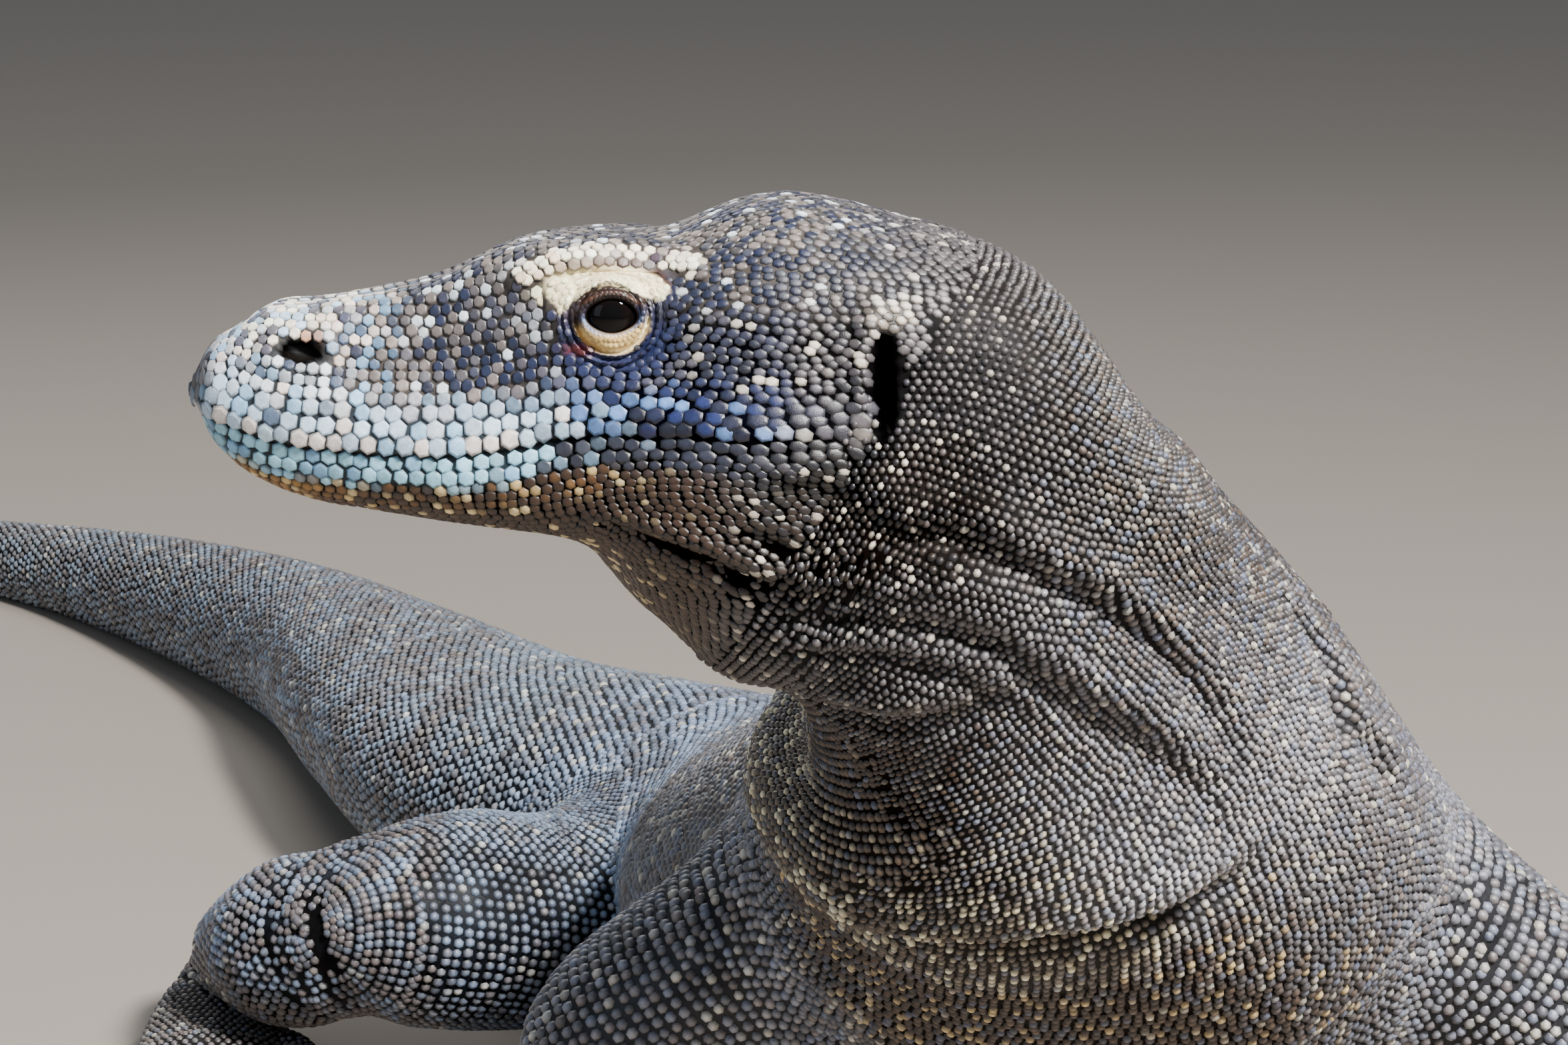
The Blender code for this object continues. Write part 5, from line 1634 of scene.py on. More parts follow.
class FaceRows:
    """Rows of polygonal plates that run with the lips, and a row along each middle line."""

    upper = (0.0048, 0.0050, 0.0046, 0.0040, 0.0035, 0.0033)
    lower = (0.0042, 0.0040, 0.0032, 0.0029, 0.0028)
    end = 0.1925

    def __init__(self, body: Body) -> None:
        """Keeps the body whose face this is."""
        self.body = body
        self.chance = np.random.default_rng(41)

    def offsets(self, heights: tuple) -> list[tuple[float, float]]:
        """Returns the middle of each row, as its distance from the lips, and its height."""
        found, edge = [], 0.0004
        for number in range(46):
            tall = heights[min(number, len(heights) - 1)]
            found.append((edge + tall / 2, tall))
            edge += tall
        return found

    def row(self, offset: float, tall: float, long: float, side: int, above: bool,
            phase: float) -> Bed | None:
        """Lays one row at a distance from the lips.

        Even steps are taken along the row's own line in space, so that the plates keep their
        length round the snout.
        """
        body = self.body
        fine = np.linspace(body.knots[0] + 0.0004, self.end, 420)
        turns, arcs = body.arcs(fine, 121, 4.0)
        rows = np.arange(len(fine))
        at = body.lips(fine) * 30.0
        low = np.floor(at).astype(int)
        lip = arcs[rows, low] + (arcs[rows, low + 1] - arcs[rows, low]) * (at - low)
        ahead = head_measures(body.point(fine, body.lips(fine)))[0]
        shrink = 1.0 - 0.22 * rise(0.100, 0.060, ahead)
        distance = lip - offset * shrink if above else lip + offset * shrink
        room = distance if above else arcs[:, -1] - distance
        good = room > 0.62 * tall
        if good.sum() < 8:
            return None
        first = np.argmax(good)
        last = len(good) - np.argmax(good[::-1])
        kept = slice(first, last)
        fine, distance, arcs, shrink = fine[kept], distance[kept], arcs[kept], shrink[kept]
        limit = arcs[:, -1] - 0.6 * tall
        distance = np.clip(distance, 0.6 * tall, limit)
        around = read_rows(arcs, turns, np.arange(len(fine)), distance)
        line = body.point(fine, around)
        gone = np.linalg.norm(np.diff(line, axis=0), axis=1)
        pace = long * shrink * (1.0 + 0.40 * rise(0.095, 0.060, head_measures(line)[0]))
        length = np.concatenate([[0.0], np.cumsum(gone / pace[1:])])
        stops = np.arange(0.5 + phase, length[-1], 1.0)
        stops = stops + self.chance.uniform(-0.10, 0.10, len(stops))
        along, turn = np.interp(stops, length, fine), np.interp(stops, length, around)
        turn = turn + self.chance.uniform(-0.11, 0.11, len(stops)) * tall / 0.04
        place, by_along, _, normal = body.lie(along, turn if side > 0 else 8.0 - turn)
        chance = self.chance.uniform(0.90, 1.08, (len(stops), 1))
        high = tall * np.interp(stops, length, shrink)
        sizes = np.stack([high * 0.655, np.interp(stops, length, pace) * 0.566,
                          np.full(len(stops), 0.00064), np.full(len(stops), 0.0)], axis=1) * chance
        reach = np.interp(stops, length, distance)
        chart = np.stack([along, 0.10 + side * (0.10 - reach) if side > 0 else 0.30 - reach], axis=1)
        return Bed(place, unit(by_along), normal, sizes, chart)

    def middle(self, turn: float, long: float) -> Bed:
        """Lays the row along the top or the bottom middle line."""
        fine = np.linspace(self.body.knots[0] + 0.0008, self.end, 400)
        line = self.body.point(fine, np.full(400, turn))
        length = np.concatenate([[0.0], np.cumsum(np.linalg.norm(np.diff(line, axis=0), axis=1))])
        along = np.interp(np.arange(long / 2, length[-1], long), length, fine)
        place, by_along, _, normal = self.body.lie(along, np.full(len(along), turn))
        sizes = np.tile([0.0020, long * 0.566, 0.0006, 0.0], (len(along), 1))
        chart = np.stack([along, np.full(len(along), 0.30 + turn * 0.01)], axis=1)
        return Bed(place, unit(by_along), normal, sizes, chart)

    def rostral(self) -> Bed:
        """Lays the plate at the snout's tip, with six smaller ones round it."""
        turns = np.arange(6) * 8.0 / 6 + 0.7
        along = np.full(6, self.body.knots[0] + 0.0005)
        place, _, _, normal = self.body.lie(along, turns)
        middle = head_point(0.2036, -0.0004)
        roots = np.concatenate([place * 0.8 + middle * 0.2, middle[None]])
        normals = unit(np.concatenate([normal + FORWARD * 1.5, FORWARD[None]]))
        backs = np.tile(-UP, (7, 1))
        sizes = np.tile([0.0026, 0.0024, 0.0005, 0.0], (7, 1))
        sizes[6] = (0.0032, 0.0026, 0.0006, 0.0)
        chart = np.stack([np.linspace(0.0, 0.01, 7), np.full(7, 0.36)], axis=1)
        return Bed(roots, backs, normals, sizes, chart)

    def bed(self) -> Bed:
        """Returns all the plates of the face, but for those where the eyes and nostrils are."""
        beds = [self.middle(0.0, 0.0034), self.middle(4.0, 0.0038), self.rostral()]
        for above, heights in ((True, self.upper), (False, self.lower)):
            for number, (offset, tall) in enumerate(self.offsets(heights)):
                long = tall * (1.08 if above else 1.2)
                for side in (1, -1):
                    found = self.row(offset, tall, long, side, above, 0.5 * (number % 2))
                    if found is not None:
                        beds.append(found)
        return Bed.join(beds)


def eye_ratio(points: Array) -> Array:
    """Returns how far out points are from the eye, as a share of the eyelid ring's reach."""
    forward, up, aside = head_measures(points)
    x, y = forward - EYE[0], up - EYE[1]
    ratio = np.hypot(x, y) / ring_reach(np.arctan2(y, x))
    return np.where(np.abs(aside) > 0.022, ratio, 9.0)


def in_opening(points: Array) -> Array:
    """Tells which points are in a nostril or an ear."""
    forward, up, aside = head_measures(points)
    nose = np.hypot((forward - 0.1683) / 0.0080, (up - 0.0135 - 0.26 * (forward - 0.1683)) / 0.0042)
    ear = np.hypot((forward - 0.0012) / 0.0046, (up - 0.0072) / 0.0156)
    return ((nose < 1) | (ear < 1)) & (np.abs(aside) > 0.018)


def lid_grains(eye: Eye) -> Bed:
    """Lays rings of grains over the eyelids and the wrinkles round them."""
    chance = np.random.default_rng(57)
    radii, sizes = [0.0009, 0.0021, 0.0035], [0.0011, 0.0013, 0.0015]
    while radii[-1] < 0.0145:
        sizes.append(min(sizes[-1] * 1.12, 0.0023))
        radii.append(radii[-1] + sizes[-1] * 0.96)
    beds = []
    for number, (offset, size) in enumerate(zip(radii, sizes)):
        count = int(round(2 * math.pi * (0.0055 + offset) / (size * 1.15)))
        angle = (np.arange(count) + 0.5 * (number % 2) + chance.uniform(-0.12, 0.12, count))
        angle = angle * 2 * math.pi / count
        edge, reach = lid_edge(angle), ring_reach(angle)
        part = offset / (0.0205 - 0.0055)
        radius = edge + (reach * 0.97 - edge) * part
        step = 0.0002
        place = eye.front(radius, angle)
        outward = unit(eye.front(radius + step, angle) - place)
        beside = unit(eye.front(radius, angle + 0.02) - place)
        normal = unit(np.cross(outward, beside))
        normal *= np.sign(np.sum(normal * eye.out, axis=1, keepdims=True))
        squeeze = (reach - edge) / 0.0150
        span = radius * 2 * math.pi / count
        height = 0.00004 + (0.085 + 0.04 * (offset > 0.0055)) * size
        dims = np.stack([span * 0.54, size * 0.52 * squeeze, np.full(count, height),
                         np.zeros(count)], axis=1)
        chart = np.stack([0.5 + radius * np.cos(angle),
                          0.5 + eye.side * 0.1 + radius * np.sin(angle)], axis=1)
        beds.append(Bed(place, outward, normal, dims, chart))
    bed = Bed.join(beds)
    return bed.keep(eye_ratio(bed.roots) < lid_reach(bed.roots) + 0.02)


def lid_reach(points: Array) -> Array:
    """Returns the eye ratio at which the lids' grains give way to the face's plates."""
    _, up, _ = head_measures(points)
    return 0.72 + 0.25 * rise(0.001, 0.007, up - EYE[1])


def onto_lids(bed: Bed, eyes: list[Eye], probe: SkinProbe) -> None:
    """Moves the plates that are near an eye onto the ring of its lids."""
    ratio = eye_ratio(bed.roots)
    _, _, aside = head_measures(bed.roots)
    for eye in eyes:
        near = (ratio < 0.95) & (aside * eye.side > 0)
        forward, up, _ = head_measures(bed.roots[near])
        x, y = forward - EYE[0], up - EYE[1]
        place = eye.front(np.hypot(x, y), np.arctan2(y, x)) + eye.out * 0.0006
        found, bed.normals[near] = probe.nearest(place)
        bed.roots[near] = found + bed.normals[near] * 0.0002
        bed.sizes[near, :2] *= 0.94


def brow_plates(probe: SkinProbe) -> Bed:
    """Lays three rows of larger plates along each brow, on the finished skin."""
    chance = np.random.default_rng(61)
    line = np.array(Body.brow)
    passed = np.concatenate([[0.0], np.cumsum(np.linalg.norm(np.diff(line, axis=0), axis=1))])
    beds = []
    rows = ((-0.0021, 0.0365), (0.0007, 0.0365), (0.0030, 0.0345))
    for side, (number, (offset, aside)) in itertools.product((1, -1), enumerate(rows)):
        at = np.arange(0.0010 + 0.0018 * (number % 2), passed[-1], 0.0036)
        at = at + chance.uniform(-0.0004, 0.0004, len(at))
        forward, up = np.interp(at, passed, line[:, 0]), np.interp(at, passed, line[:, 1])
        rough = EAR + np.outer(forward, FORWARD) + np.outer(up + offset, UP) + LEFT * side * aside
        place, normal = probe.nearest(rough)
        backs = unit(np.gradient(place, axis=0))
        sizes = np.tile([0.00188, 0.00198, 0.00052, 0.0], (len(at), 1))
        sizes *= chance.uniform(0.92, 1.08, (len(at), 1))
        chart = np.stack([at, np.full(len(at), 0.38 + offset + 0.01 * side)], axis=1)
        beds.append(Bed(place, backs, normal, sizes, chart))
    return Bed.join(beds)


class Coat:
    """Lays every bed of scales as joined meshes over the skin."""

    def __init__(self, markings: Markings, material: bpy.types.Material) -> None:
        """Keeps the markings and the finish of the scales."""
        self.markings, self.material = markings, material
        self.triangles = 0

    def lay(self, name: str, bed: Bed, shape: Dome, slot: str, seed: int,
            nodes: tuple[str, ...] = ()) -> bpy.types.Object:
        """Makes one piece of scales.

        Each scale is a ring or two round a top point, turned by a few degrees, with its tint
        raised on top as a painted highlight and darkened towards the rim as painted shade.  On
        the map OFBake it is a small square at its root's place on the unwrapped hide.

        Args:
            name: the piece's name.
            bed: the scales.
            shape: the shape of each.
            slot: not used.
            seed: for turns and tints.
            nodes: solids that this piece stands for.

        Returns:
            The piece.
        """
        sides, rings, highlight_and_shade = shape.value
        chance = np.random.default_rng(seed)
        count = len(bed.roots)
        angle = (np.arange(sides) + 0.5) * 2 * math.pi / sides
        flat = [np.zeros((1, 3))]
        flat[0][0, 2] = 1.0
        for radius, height in rings:
            flat.append(np.stack([radius * np.sin(angle), radius * np.cos(angle),
                                  np.full(sides, height)], axis=1))
        model = np.concatenate(flat)
        nap = unit(bed.backs - bed.normals * np.sum(bed.backs * bed.normals, axis=1, keepdims=True))
        across = np.cross(nap, bed.normals)
        turned = chance.uniform(-0.14, 0.14, count)[:, None]
        cosine, sine = np.cos(turned), np.sin(turned)
        nap, across = nap * cosine + across * sine, across * cosine - nap * sine
        local = model[None] * bed.sizes[:, None, :3]
        local[..., 2] += model[None, :, 1] * bed.sizes[:, 3:]
        points = (bed.roots[:, None] + local[..., :1] * across[:, None] + local[..., 1:2] * nap[:, None]
                  + local[..., 2:] * bed.normals[:, None])
        points = points.reshape(-1, 3)
        points[:, 2] = np.maximum(points[:, 2], 0.0)
        around = np.arange(sides)
        after = (around + 1) % sides
        faces = [np.stack([np.zeros(sides, int), 1 + around, 1 + after], axis=1)]
        for k in range(len(rings) - 1):
            here, beyond = 1 + k * sides, 1 + (k + 1) * sides
            faces.append(np.stack([here + around, beyond + around, beyond + after], axis=1))
            faces.append(np.stack([here + around, beyond + after, here + after], axis=1))
        pattern = np.concatenate(faces)
        if np.linalg.det(model[pattern] + np.array([0, 0, 2.0])).sum() < 0:
            pattern = pattern[:, ::-1]
        whole = (pattern[None] + (np.arange(count) * len(model))[:, None, None]).reshape(-1, 3)
        made = make_mesh(name, points, whole, self.material)
        luck = chance.uniform(0, 1, count)
        tint = self.markings.tint(bed.roots, luck)
        # Painted highlight and shade: each vertex's tint is scaled up on the scale's top and down towards
        # its rim.
        depth = np.concatenate([highlight_and_shade[:1], np.repeat(highlight_and_shade[1:], sides)])
        tints = tint[:, None] * depth[None, :, None]
        dirt = self.markings.dirt(bed.roots)[:, None, None]
        tints[:, -sides:] += 0.40 * dirt * (colour(*DIRT) - tints[:, -sides:])
        paint(made, "tint", tints.reshape(-1, 3))
        layer = made.data.uv_layers.new(name="OFBake")
        low, high = bed.chart.min(axis=0), bed.chart.max(axis=0)
        rooted = 0.004 + 0.992 * (bed.chart - low) / (high - low).max()
        uv = rooted[:, None] + model[None, :, :2] * 0.0013
        layer.data.foreach_set("uv", uv.reshape(-1, 2)[whole.ravel()].astype(np.float32).ravel())
        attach(made, "root")
        if nodes:
            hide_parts(*nodes)
        self.triangles += len(whole)
        log.info("%s: %d scales, %d triangles", name, count, len(whole))
        return made


# ------------------------------------------------------------------ finishes
class Group:
    """A shader node group in the making, with short ways to add nodes and links."""

    def __init__(self, name: str) -> None:
        """Makes the empty group."""
        self.tree = bpy.data.node_groups.new(name, "ShaderNodeTree")
        self.inside = self.tree.nodes.new("NodeGroupInput")
        self.outside = self.tree.nodes.new("NodeGroupOutput")

    def takes(self, name: str, kind: str) -> None:
        """Adds an input."""
        self.tree.interface.new_socket(name, in_out="INPUT", socket_type=kind)

    def gives(self, name: str, kind: str) -> None:
        """Adds an output."""
        self.tree.interface.new_socket(name, in_out="OUTPUT", socket_type=kind)

    def node(self, kind: str, **settings: object) -> bpy.types.Node:
        """Adds a node of this kind with its settings."""
        made = self.tree.nodes.new(kind)
        for name, value in settings.items():
            setattr(made, name, value)
        return made

    def link(self, source: bpy.types.NodeSocket, target: bpy.types.NodeSocket) -> None:
        """Links two sockets."""
        self.tree.links.new(source, target)

    def noise(self, scale: float, detail: float = 3.0, rough: float = 0.55) -> bpy.types.Node:
        """Adds a noise texture on object coordinates."""
        texture = self.node("ShaderNodeTexNoise")
        texture.inputs["Scale"].default_value = scale
        texture.inputs["Detail"].default_value = detail
        texture.inputs["Roughness"].default_value = rough
        place = self.node("ShaderNodeTexCoord")
        self.link(place.outputs["Object"], texture.inputs["Vector"])
        return texture

    def range(self, source: bpy.types.NodeSocket, low: float, high: float, to_low: float,
              to_high: float) -> bpy.types.NodeSocket:
        """Adds a node that maps one range of values to another, and returns its output."""
        node = self.node("ShaderNodeMapRange")
        for name, value in (("From Min", low), ("From Max", high), ("To Min", to_low), ("To Max", to_high)):
            node.inputs[name].default_value = value
        self.link(source, node.inputs["Value"])
        return node.outputs["Result"]


def weathered_group() -> bpy.types.NodeTree:
    """Makes the group that gives hide and horn their fine mottling, dust and grain.

    It takes a colour and the size of the grain, and puts out the colour with mottling at two
    sizes and pale dust on what faces up, a roughness, and a height for the bump.
    """
    group = Group("weathered")
    group.takes("Color", "NodeSocketColor")
    group.takes("Dust", "NodeSocketFloat")
    group.gives("Color", "NodeSocketColor")
    group.gives("Roughness", "NodeSocketFloat")
    group.gives("Height", "NodeSocketFloat")
    mottle, grain, patches = group.noise(420.0), group.noise(2600.0, 2.0), group.noise(55.0, 4.0)
    tone = group.range(mottle.outputs["Fac"], 0.3, 0.7, 0.78, 1.16)
    shade = group.node("ShaderNodeMix", data_type="RGBA", blend_type="MULTIPLY")
    shade.inputs["Factor"].default_value = 1.0
    group.link(group.inside.outputs["Color"], shade.inputs["A"])
    group.link(tone, shade.inputs["B"])
    facing = group.node("ShaderNodeNewGeometry")
    split = group.node("ShaderNodeSeparateXYZ")
    group.link(facing.outputs["Normal"], split.inputs["Vector"])
    up = group.range(split.outputs["Z"], 0.35, 1.0, 0.0, 1.0)
    lying = group.node("ShaderNodeMath", operation="MULTIPLY")
    group.link(up, lying.inputs[0])
    group.link(group.range(patches.outputs["Fac"], 0.42, 0.68, 0.0, 1.0), lying.inputs[1])
    amount = group.node("ShaderNodeMath", operation="MULTIPLY")
    group.link(lying.outputs["Value"], amount.inputs[0])
    group.link(group.inside.outputs["Dust"], amount.inputs[1])
    dusty = group.node("ShaderNodeMix", data_type="RGBA")
    dusty.inputs["B"].default_value = (*colour(130, 121, 111), 1.0)
    group.link(amount.outputs["Value"], dusty.inputs["Factor"])
    group.link(shade.outputs["Result"], dusty.inputs["A"])
    group.link(dusty.outputs["Result"], group.outside.inputs["Color"])
    group.link(group.range(mottle.outputs["Fac"], 0.3, 0.7, 0.36, 0.56), group.outside.inputs["Roughness"])
    group.link(grain.outputs["Fac"], group.outside.inputs["Height"])
    return group.tree


@dataclass(frozen=True)
class Finish:
    """A finish that takes its colour from the tint stored in the mesh."""

    name: str
    dust: float = 0.25
    bump: float = 0.25
    specular: float = 0.45
    coat: float = 0.0

    def build(self, weathered: bpy.types.NodeTree) -> bpy.types.Material:
        """Makes the material."""
        made = bpy.data.materials.new(self.name)
        made.use_nodes = True
        nodes, link = made.node_tree.nodes, made.node_tree.links.new
        shader = nodes["Principled BSDF"]
        shader.inputs["Coat Weight"].default_value = self.coat
        tint = nodes.new("ShaderNodeVertexColor")
        tint.layer_name = "tint"
        group = nodes.new("ShaderNodeGroup")
        group.node_tree = weathered
        group.inputs["Dust"].default_value = self.dust
        bump = nodes.new("ShaderNodeBump")
        bump.inputs["Strength"].default_value = self.bump
        bump.inputs["Distance"].default_value = 0.0003
        shine = nodes.new("ShaderNodeMath")
        shine.operation = "MULTIPLY"
        shine.inputs[1].default_value = self.specular
        link(tint.outputs["Alpha"], shine.inputs[0])
        link(shine.outputs["Value"], shader.inputs["Specular IOR Level"])
        link(tint.outputs["Color"], group.inputs["Color"])
        link(group.outputs["Color"], shader.inputs["Base Color"])
        link(group.outputs["Roughness"], shader.inputs["Roughness"])
        link(group.outputs["Height"], bump.inputs["Height"])
        link(bump.outputs["Normal"], shader.inputs["Normal"])
        return made


@dataclass(frozen=True)
class WetFinish:
    """The eye's finish: its tint under a clear wet coat."""

    name: str = "wet_eye"

    def build(self) -> bpy.types.Material:
        """Makes the material."""
        made = bpy.data.materials.new(self.name)
        made.use_nodes = True
        nodes, link = made.node_tree.nodes, made.node_tree.links.new
        shader = nodes["Principled BSDF"]
        shader.inputs["Roughness"].default_value = 0.60
        shader.inputs["Specular IOR Level"].default_value = 0.0
        shader.inputs["Coat Weight"].default_value = 0.34
        shader.inputs["Coat Roughness"].default_value = 0.03
        tint = nodes.new("ShaderNodeVertexColor")
        tint.layer_name = "tint"
        place, streaks = nodes.new("ShaderNodeTexCoord"), nodes.new("ShaderNodeTexNoise")
        streaks.inputs["Scale"].default_value = 1500.0
        link(place.outputs["Object"], streaks.inputs["Vector"])
        shade = nodes.new("ShaderNodeMix")
        shade.data_type, shade.blend_type = "RGBA", "MULTIPLY"
        shade.inputs["Factor"].default_value = 0.4
        link(tint.outputs["Color"], shade.inputs["A"])
        link(streaks.outputs["Fac"], shade.inputs["B"])
        link(shade.outputs["Result"], shader.inputs["Base Color"])
        return made


# ------------------------------------------------------------------ the stage
@dataclass(frozen=True)
class Stage:
    """Floor, lights and camera."""

    target: tuple = (0.20, -0.90, 0.40)

    def floor(self) -> None:
        """Makes the plain pale floor."""
        corners = np.array([(-20, -12, 0), (20, -12, 0), (20, 40, 0), (-20, 40, 0)], float)
        material = bpy.data.materials.new("pale_floor")
        material.use_nodes = True
        shader = material.node_tree.nodes["Principled BSDF"]
        shader.inputs["Base Color"].default_value = (*colour(150, 142, 132), 1.0)
        shader.inputs["Roughness"].default_value = 0.9
        make_mesh("floor", corners, np.array([[0, 1, 2, 3]]), material)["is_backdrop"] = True

    def light(self, name: str, place: tuple, size: float, power: float, shade: tuple) -> None:
        """Adds a square area light that faces the head."""
        data = bpy.data.lights.new(name, "AREA")
        data.size, data.energy, data.color = size, power, shade
        lamp = bpy.data.objects.new(name, data)
        away = np.array(place) - np.array(self.target)
        across = math.hypot(away[0], away[1])
        lamp.location = place
        lamp.rotation_euler = (math.atan2(across, away[2]), 0.0, math.atan2(away[0], -away[1]))
        bpy.context.scene.collection.objects.link(lamp)

    def camera(self) -> None:
        """Adds the camera, level with the withers and tipped a little down."""
        data = bpy.data.cameras.new("camera")
        data.sensor_width, data.lens = 36.0, 97.12
        data.clip_end = 100.0
        eye = bpy.data.objects.new("camera", data)
        eye.location = (0.28490, -2.17829, 0.70)
        eye.rotation_euler = (math.radians(90.0 - 12.0), 0.0, 0.0)
        bpy.context.scene.collection.objects.link(eye)
        bpy.context.scene.camera = eye

    def build(self) -> None:
        """Sets up the floor, the world's soft light, the lamps and the camera."""
        self.floor()
        world = bpy.data.worlds.new("soft_sky")
        world.use_nodes = True
        sky = world.node_tree.nodes["Background"]
        sky.inputs["Color"].default_value = (0.80, 0.87, 1.0, 1.0)
        sky.inputs["Strength"].default_value = 0.30
        bpy.context.scene.world = world
        self.light("key", (1.60, -2.20, 2.50), 0.50, 330.0, (1.0, 0.98, 0.95))
        self.light("fill", (-1.80, -2.30, 1.20), 1.6, 12.0, (0.62, 0.80, 1.0))
        self.light("rim", (-0.60, 1.60, 2.20), 1.2, 30.0, (1.0, 0.98, 0.95))
        self.camera()


# ------------------------------------------------------------------ putting it together
def make_limbs() -> list[Limb]:
    """Returns the four legs."""
    limbs = []
    for side, sign in (("left", 1), ("right", -1)):
        shoulder = Girdle((0.110, 0.170, 0.0), (1.0, 0.0, 0.0), sign)
        hip = Girdle((-0.010, 0.865, 0.0), (0.881, 0.473, 0.0), sign)
        limbs.append(Limb(shoulder, side, ARM, HAND, "hand"))
        limbs.append(Limb(hip, side, LEG, FOOT, "foot"))
    return limbs


FLESH = (
    "head", "lower_jaw", "neck_upper", "neck_lower", "chest", "belly", "hips", "tail_base",
    "tail_middle", "tail_end",
    *(f"{name}_{side}" for name in ("upper_arm", "forearm", "hand", "thigh", "shank", "foot")
      for side in ("left", "right")),
)


def distance_to(points: Array, others: Array) -> Array:
    """Returns each point's distance to the nearest of the others."""
    middle = others.mean(axis=0)
    here, there = points - middle, others - middle
    square = (here**2).sum(axis=1)[:, None] + (there**2).sum(axis=1) - 2 * here @ there.T
    return np.sqrt(np.maximum(square.min(axis=1), 0.0))


def body_beds(body: Body, probe: SkinProbe, limbs: list[Limb],
              face: Bed) -> list[tuple[str, Bed, str]]:
    """Lays out the scales of neck, trunk, tail and legs.

    Args:
        body: the spine's tube.
        probe: finds the finished skin.
        limbs: the legs.
        face: the plates of the face, which the neck's scales keep off.

    Returns:
        The name, bed and slot of each piece.
    """
    def settle(bed: Bed, others: list[Tube], slack: float = 0.003) -> Bed:
        """Sets a bed onto the skin and drops the scales that would move too far."""
        held = np.any([tube.holds(bed.roots, 0.04) for tube in others], axis=0)
        place, normal = probe.nearest(bed.roots)
        moved = np.linalg.norm(place - bed.roots, axis=1)
        bed.roots, bed.normals = place, normal
        return bed.keep(moved < np.where(held, slack, 0.035))

    leg_tubes = [tube for limb in limbs for tube in limb.tubes]
    sections = (
        ("scales_neck", 0.187, 0.300, (0.0027, 0.0029)),
        ("scales_throat_and_shoulders", 0.300, 0.440, (0.0029, 0.0041)),
        ("scales_chest", 0.440, 0.660, (0.0041, 0.0056)),
        ("scales_flanks", 0.660, 0.930, (0.0056, 0.0062)),
        ("scales_hips", 0.930, 1.230, (0.0062, 0.0060)),
        ("scales_tail_base", 1.230, 1.560, (0.0060, 0.0058)),
        ("scales_tail_end", 1.560, 2.776, (0.0060, 0.0050)),
    )
    found = []
    for number, (name, start, end, size) in enumerate(sections):
        bed = laid_across(body, start, end, size, np.interp(start, (0.30, 0.66), (0.36, 0.26)), 0.45,
                          100 + number)
        bed = settle(bed, leg_tubes)
        if number == 0:
            rear = face.roots[head_measures(face.roots)[0] < 0.075]
            gap = np.full(len(bed.roots), 1.0)
            first = bed.chart[:, 0] < 0.203
            gap[first] = distance_to(bed.roots[first], rear)
            bed = bed.keep(gap > 0.0018)
        found.append((name, bed, "hide"))
    for limb in limbs:
        beds, feet = [], []
        tubes = limb.all_tubes()
        for number, tube in enumerate(tubes):
            small = number > 2
            size = 0.0034 if small else (0.0041 if number == 2 else 0.0055)
            start = 0.35 * number
            bed = Bed.join([
                laid_across(tube, tube.knots[0], tube.knots[-1],
                            (0.0043 if number == 0 else size, size), 0.28, 0.4,
                            200 + number, start),
                laid_on_end(tube, size, 0.26, 300 + number, start),
                *([laid_on_end(tube, size, 0.26, 400 + number, start, -1)] if number in (1, 2) else []),
            ])
            near = [other for k, other in enumerate(tubes) if k != number]
            bed = settle(bed, near + ([body] if number < 2 else []), 0.003 if number == 0 else 0.012)
            laid = beds + feet
            if laid:
                bed = bed.keep(distance_to(bed.roots, Bed.join(laid).roots) > 0.80 * size)
            (feet if number >= 2 else beds).append(bed)
        place = "fore" if limb.foot_name == "hand" else "hind"
        found.append((f"scales_{place}_leg_{limb.side}", Bed.join(beds), "hide"))
        found.append((f"scales_{limb.foot_name}_{limb.side}", Bed.join(feet), "hide"))
    return found


def write_sizes(after: tuple) -> None:
    """Takes the model's box after the looks were built, and writes nothing."""
    def plain(box: tuple) -> list:
        """Returns the box's corners as plain numbers."""
        return [[float(value) for value in corner] for corner in box]


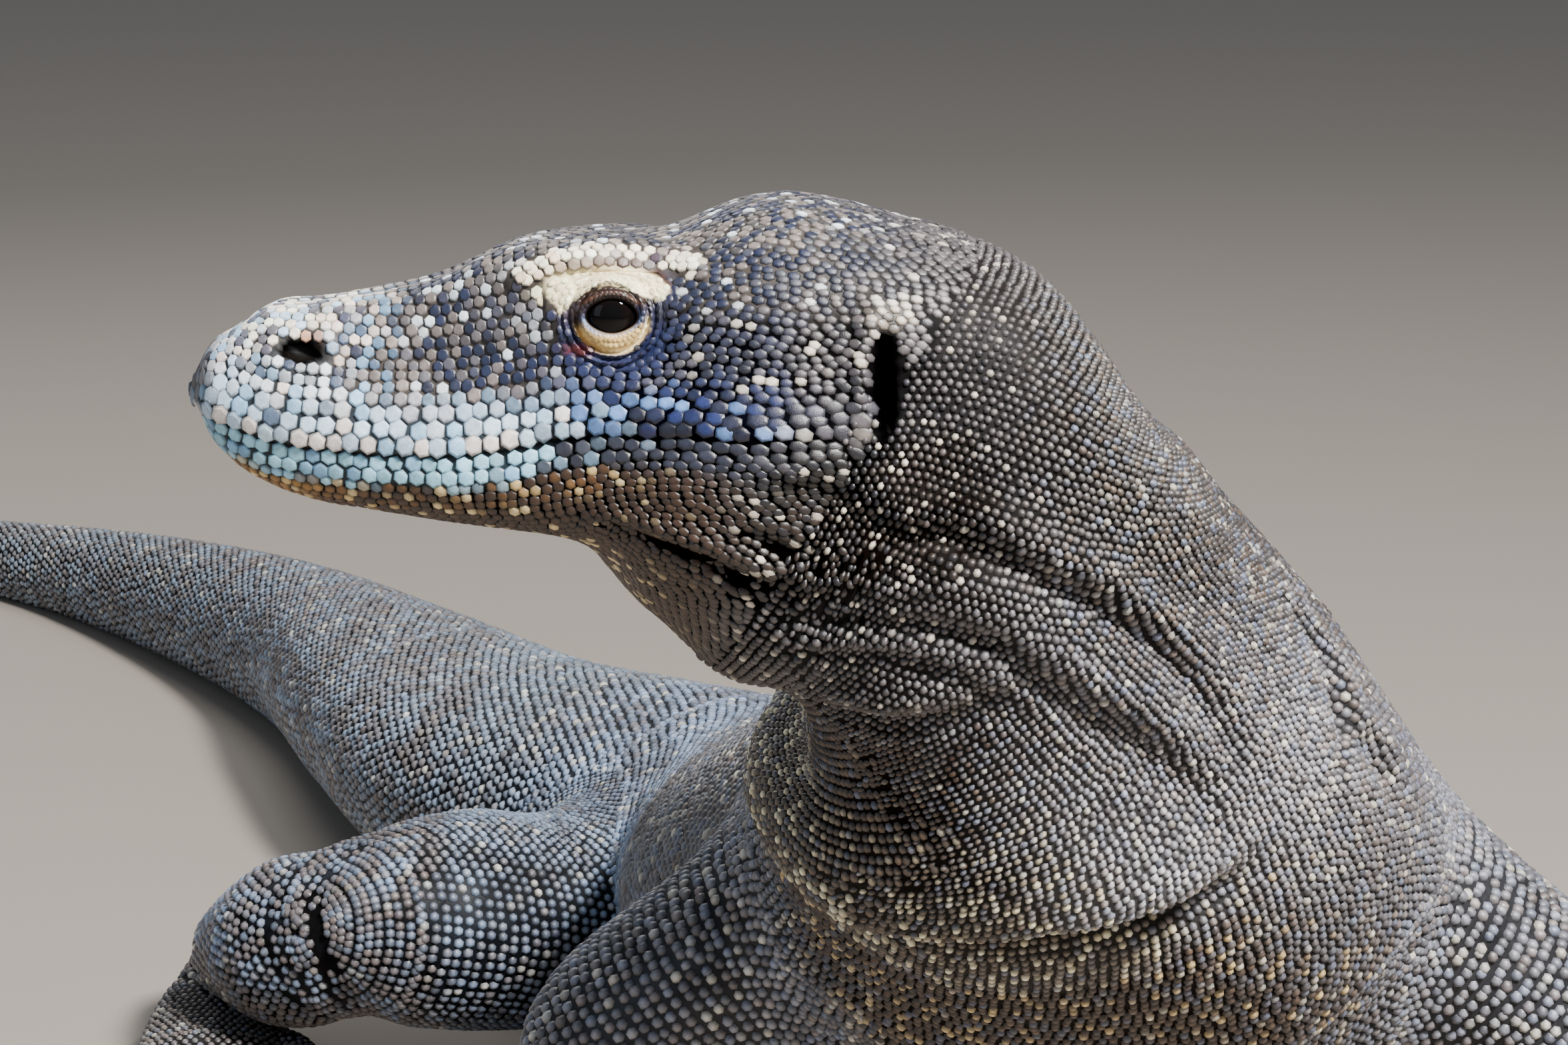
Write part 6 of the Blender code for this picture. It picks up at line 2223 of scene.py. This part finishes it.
def main() -> None:
    """Builds every part in order and reports each."""
    logging.basicConfig(level=logging.INFO, format="%(name)s: %(message)s")
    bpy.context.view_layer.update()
    weathered = weathered_group()
    hide = Finish("hide_skin", 0.05, 0.15, 0.30).build(weathered)
    scales = Finish("scales", 0.06, 0.30, 0.62).build(weathered)
    horn = Finish("claw_horn", 0.05, 0.35, 0.5, 0.15).build(weathered)
    wet = WetFinish().build()
    body, limbs = Body(), make_limbs()
    eyes = [Eye(side, body) for side in (1, -1)]
    skin = Skin(body, limbs, eyes, hide).build()
    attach(skin, "root")
    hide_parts(*FLESH)
    log.info("skin: %d points, %d faces", len(skin.data.vertices), len(skin.data.polygons))
    for eye in eyes:
        eye.ball(wet)
    for limb in limbs:
        for claw in limb.claws:
            claw.build(horn)
    markings = Markings(body, limbs)
    places = coordinates(skin.data)
    tints = markings.tint(places, np.full(len(places), 0.5))
    lids = lid_reach(places)
    along, _ = body.locate(places)
    # Painted shade between the scales: the skin under them keeps only a twentieth to an eighth of its tint;
    # on the lids, where the skin shows, it keeps nearly all of it.
    floor = 0.05 + 0.08 * rise(0.185, 0.215, along) * rise(0.62, 0.44, along)
    bare = floor + (0.98 - floor) * rise(lids + 0.06, lids - 0.02, eye_ratio(places))
    tints = tints * bare[:, None]
    # Dust in the gaps, mixed in at six tenths of its colour: real dust, darkened by the painted shade.
    tints = mix(tints, colour(*DIRT) * 0.6, markings.dirt(places) * (1 - bare))
    paint(skin, "tint", tints, rise(0.0, 0.03, tints.max(axis=1)))
    probe = SkinProbe(skin)
    coat = Coat(markings, scales)
    face = FaceRows(body).bed()
    ratio = eye_ratio(face.roots)
    face = face.keep((ratio > lid_reach(face.roots)) & ~in_opening(face.roots))
    onto_lids(face, eyes, probe)
    brows = brow_plates(probe)
    apart = distance_to(face.roots, brows.roots)
    face = Bed.join([face.keep(apart > 0.0029), brows])
    forward, up, _ = head_measures(face.roots)
    mouth = up - np.interp(forward, MOUTH[::-1, 0], MOUTH[::-1, 1])
    before_eye = ((forward > 0.072) & (mouth > -0.0086)) | (face.chart[:, 1] > 0.36)
    coat.lay("scales_snout", face.keep(before_eye), Dome.PLATE, "face", 1)
    coat.lay("scales_cheeks", face.keep(~before_eye), Dome.COBBLE, "face", 9)
    coat.lay("scales_eyelids", Bed.join([lid_grains(eye) for eye in eyes]), Dome.GRAIN, "face", 2)
    for number, (name, bed, slot) in enumerate(body_beds(body, probe, limbs, face), start=3):
        bed = bed.keep(~in_opening(bed.roots) | (bed.chart[:, 0] > 0.3))
        shape = Dome.SHINGLE if "tail" in name or "hips" in name else Dome.BEAD
        coat.lay(name, bed, shape, slot, number)
    probe.clear()
    log.info("coat: %d triangles", coat.triangles)
    Stage().build()
    write_sizes(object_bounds())


if __name__ == "__main__":
    main()
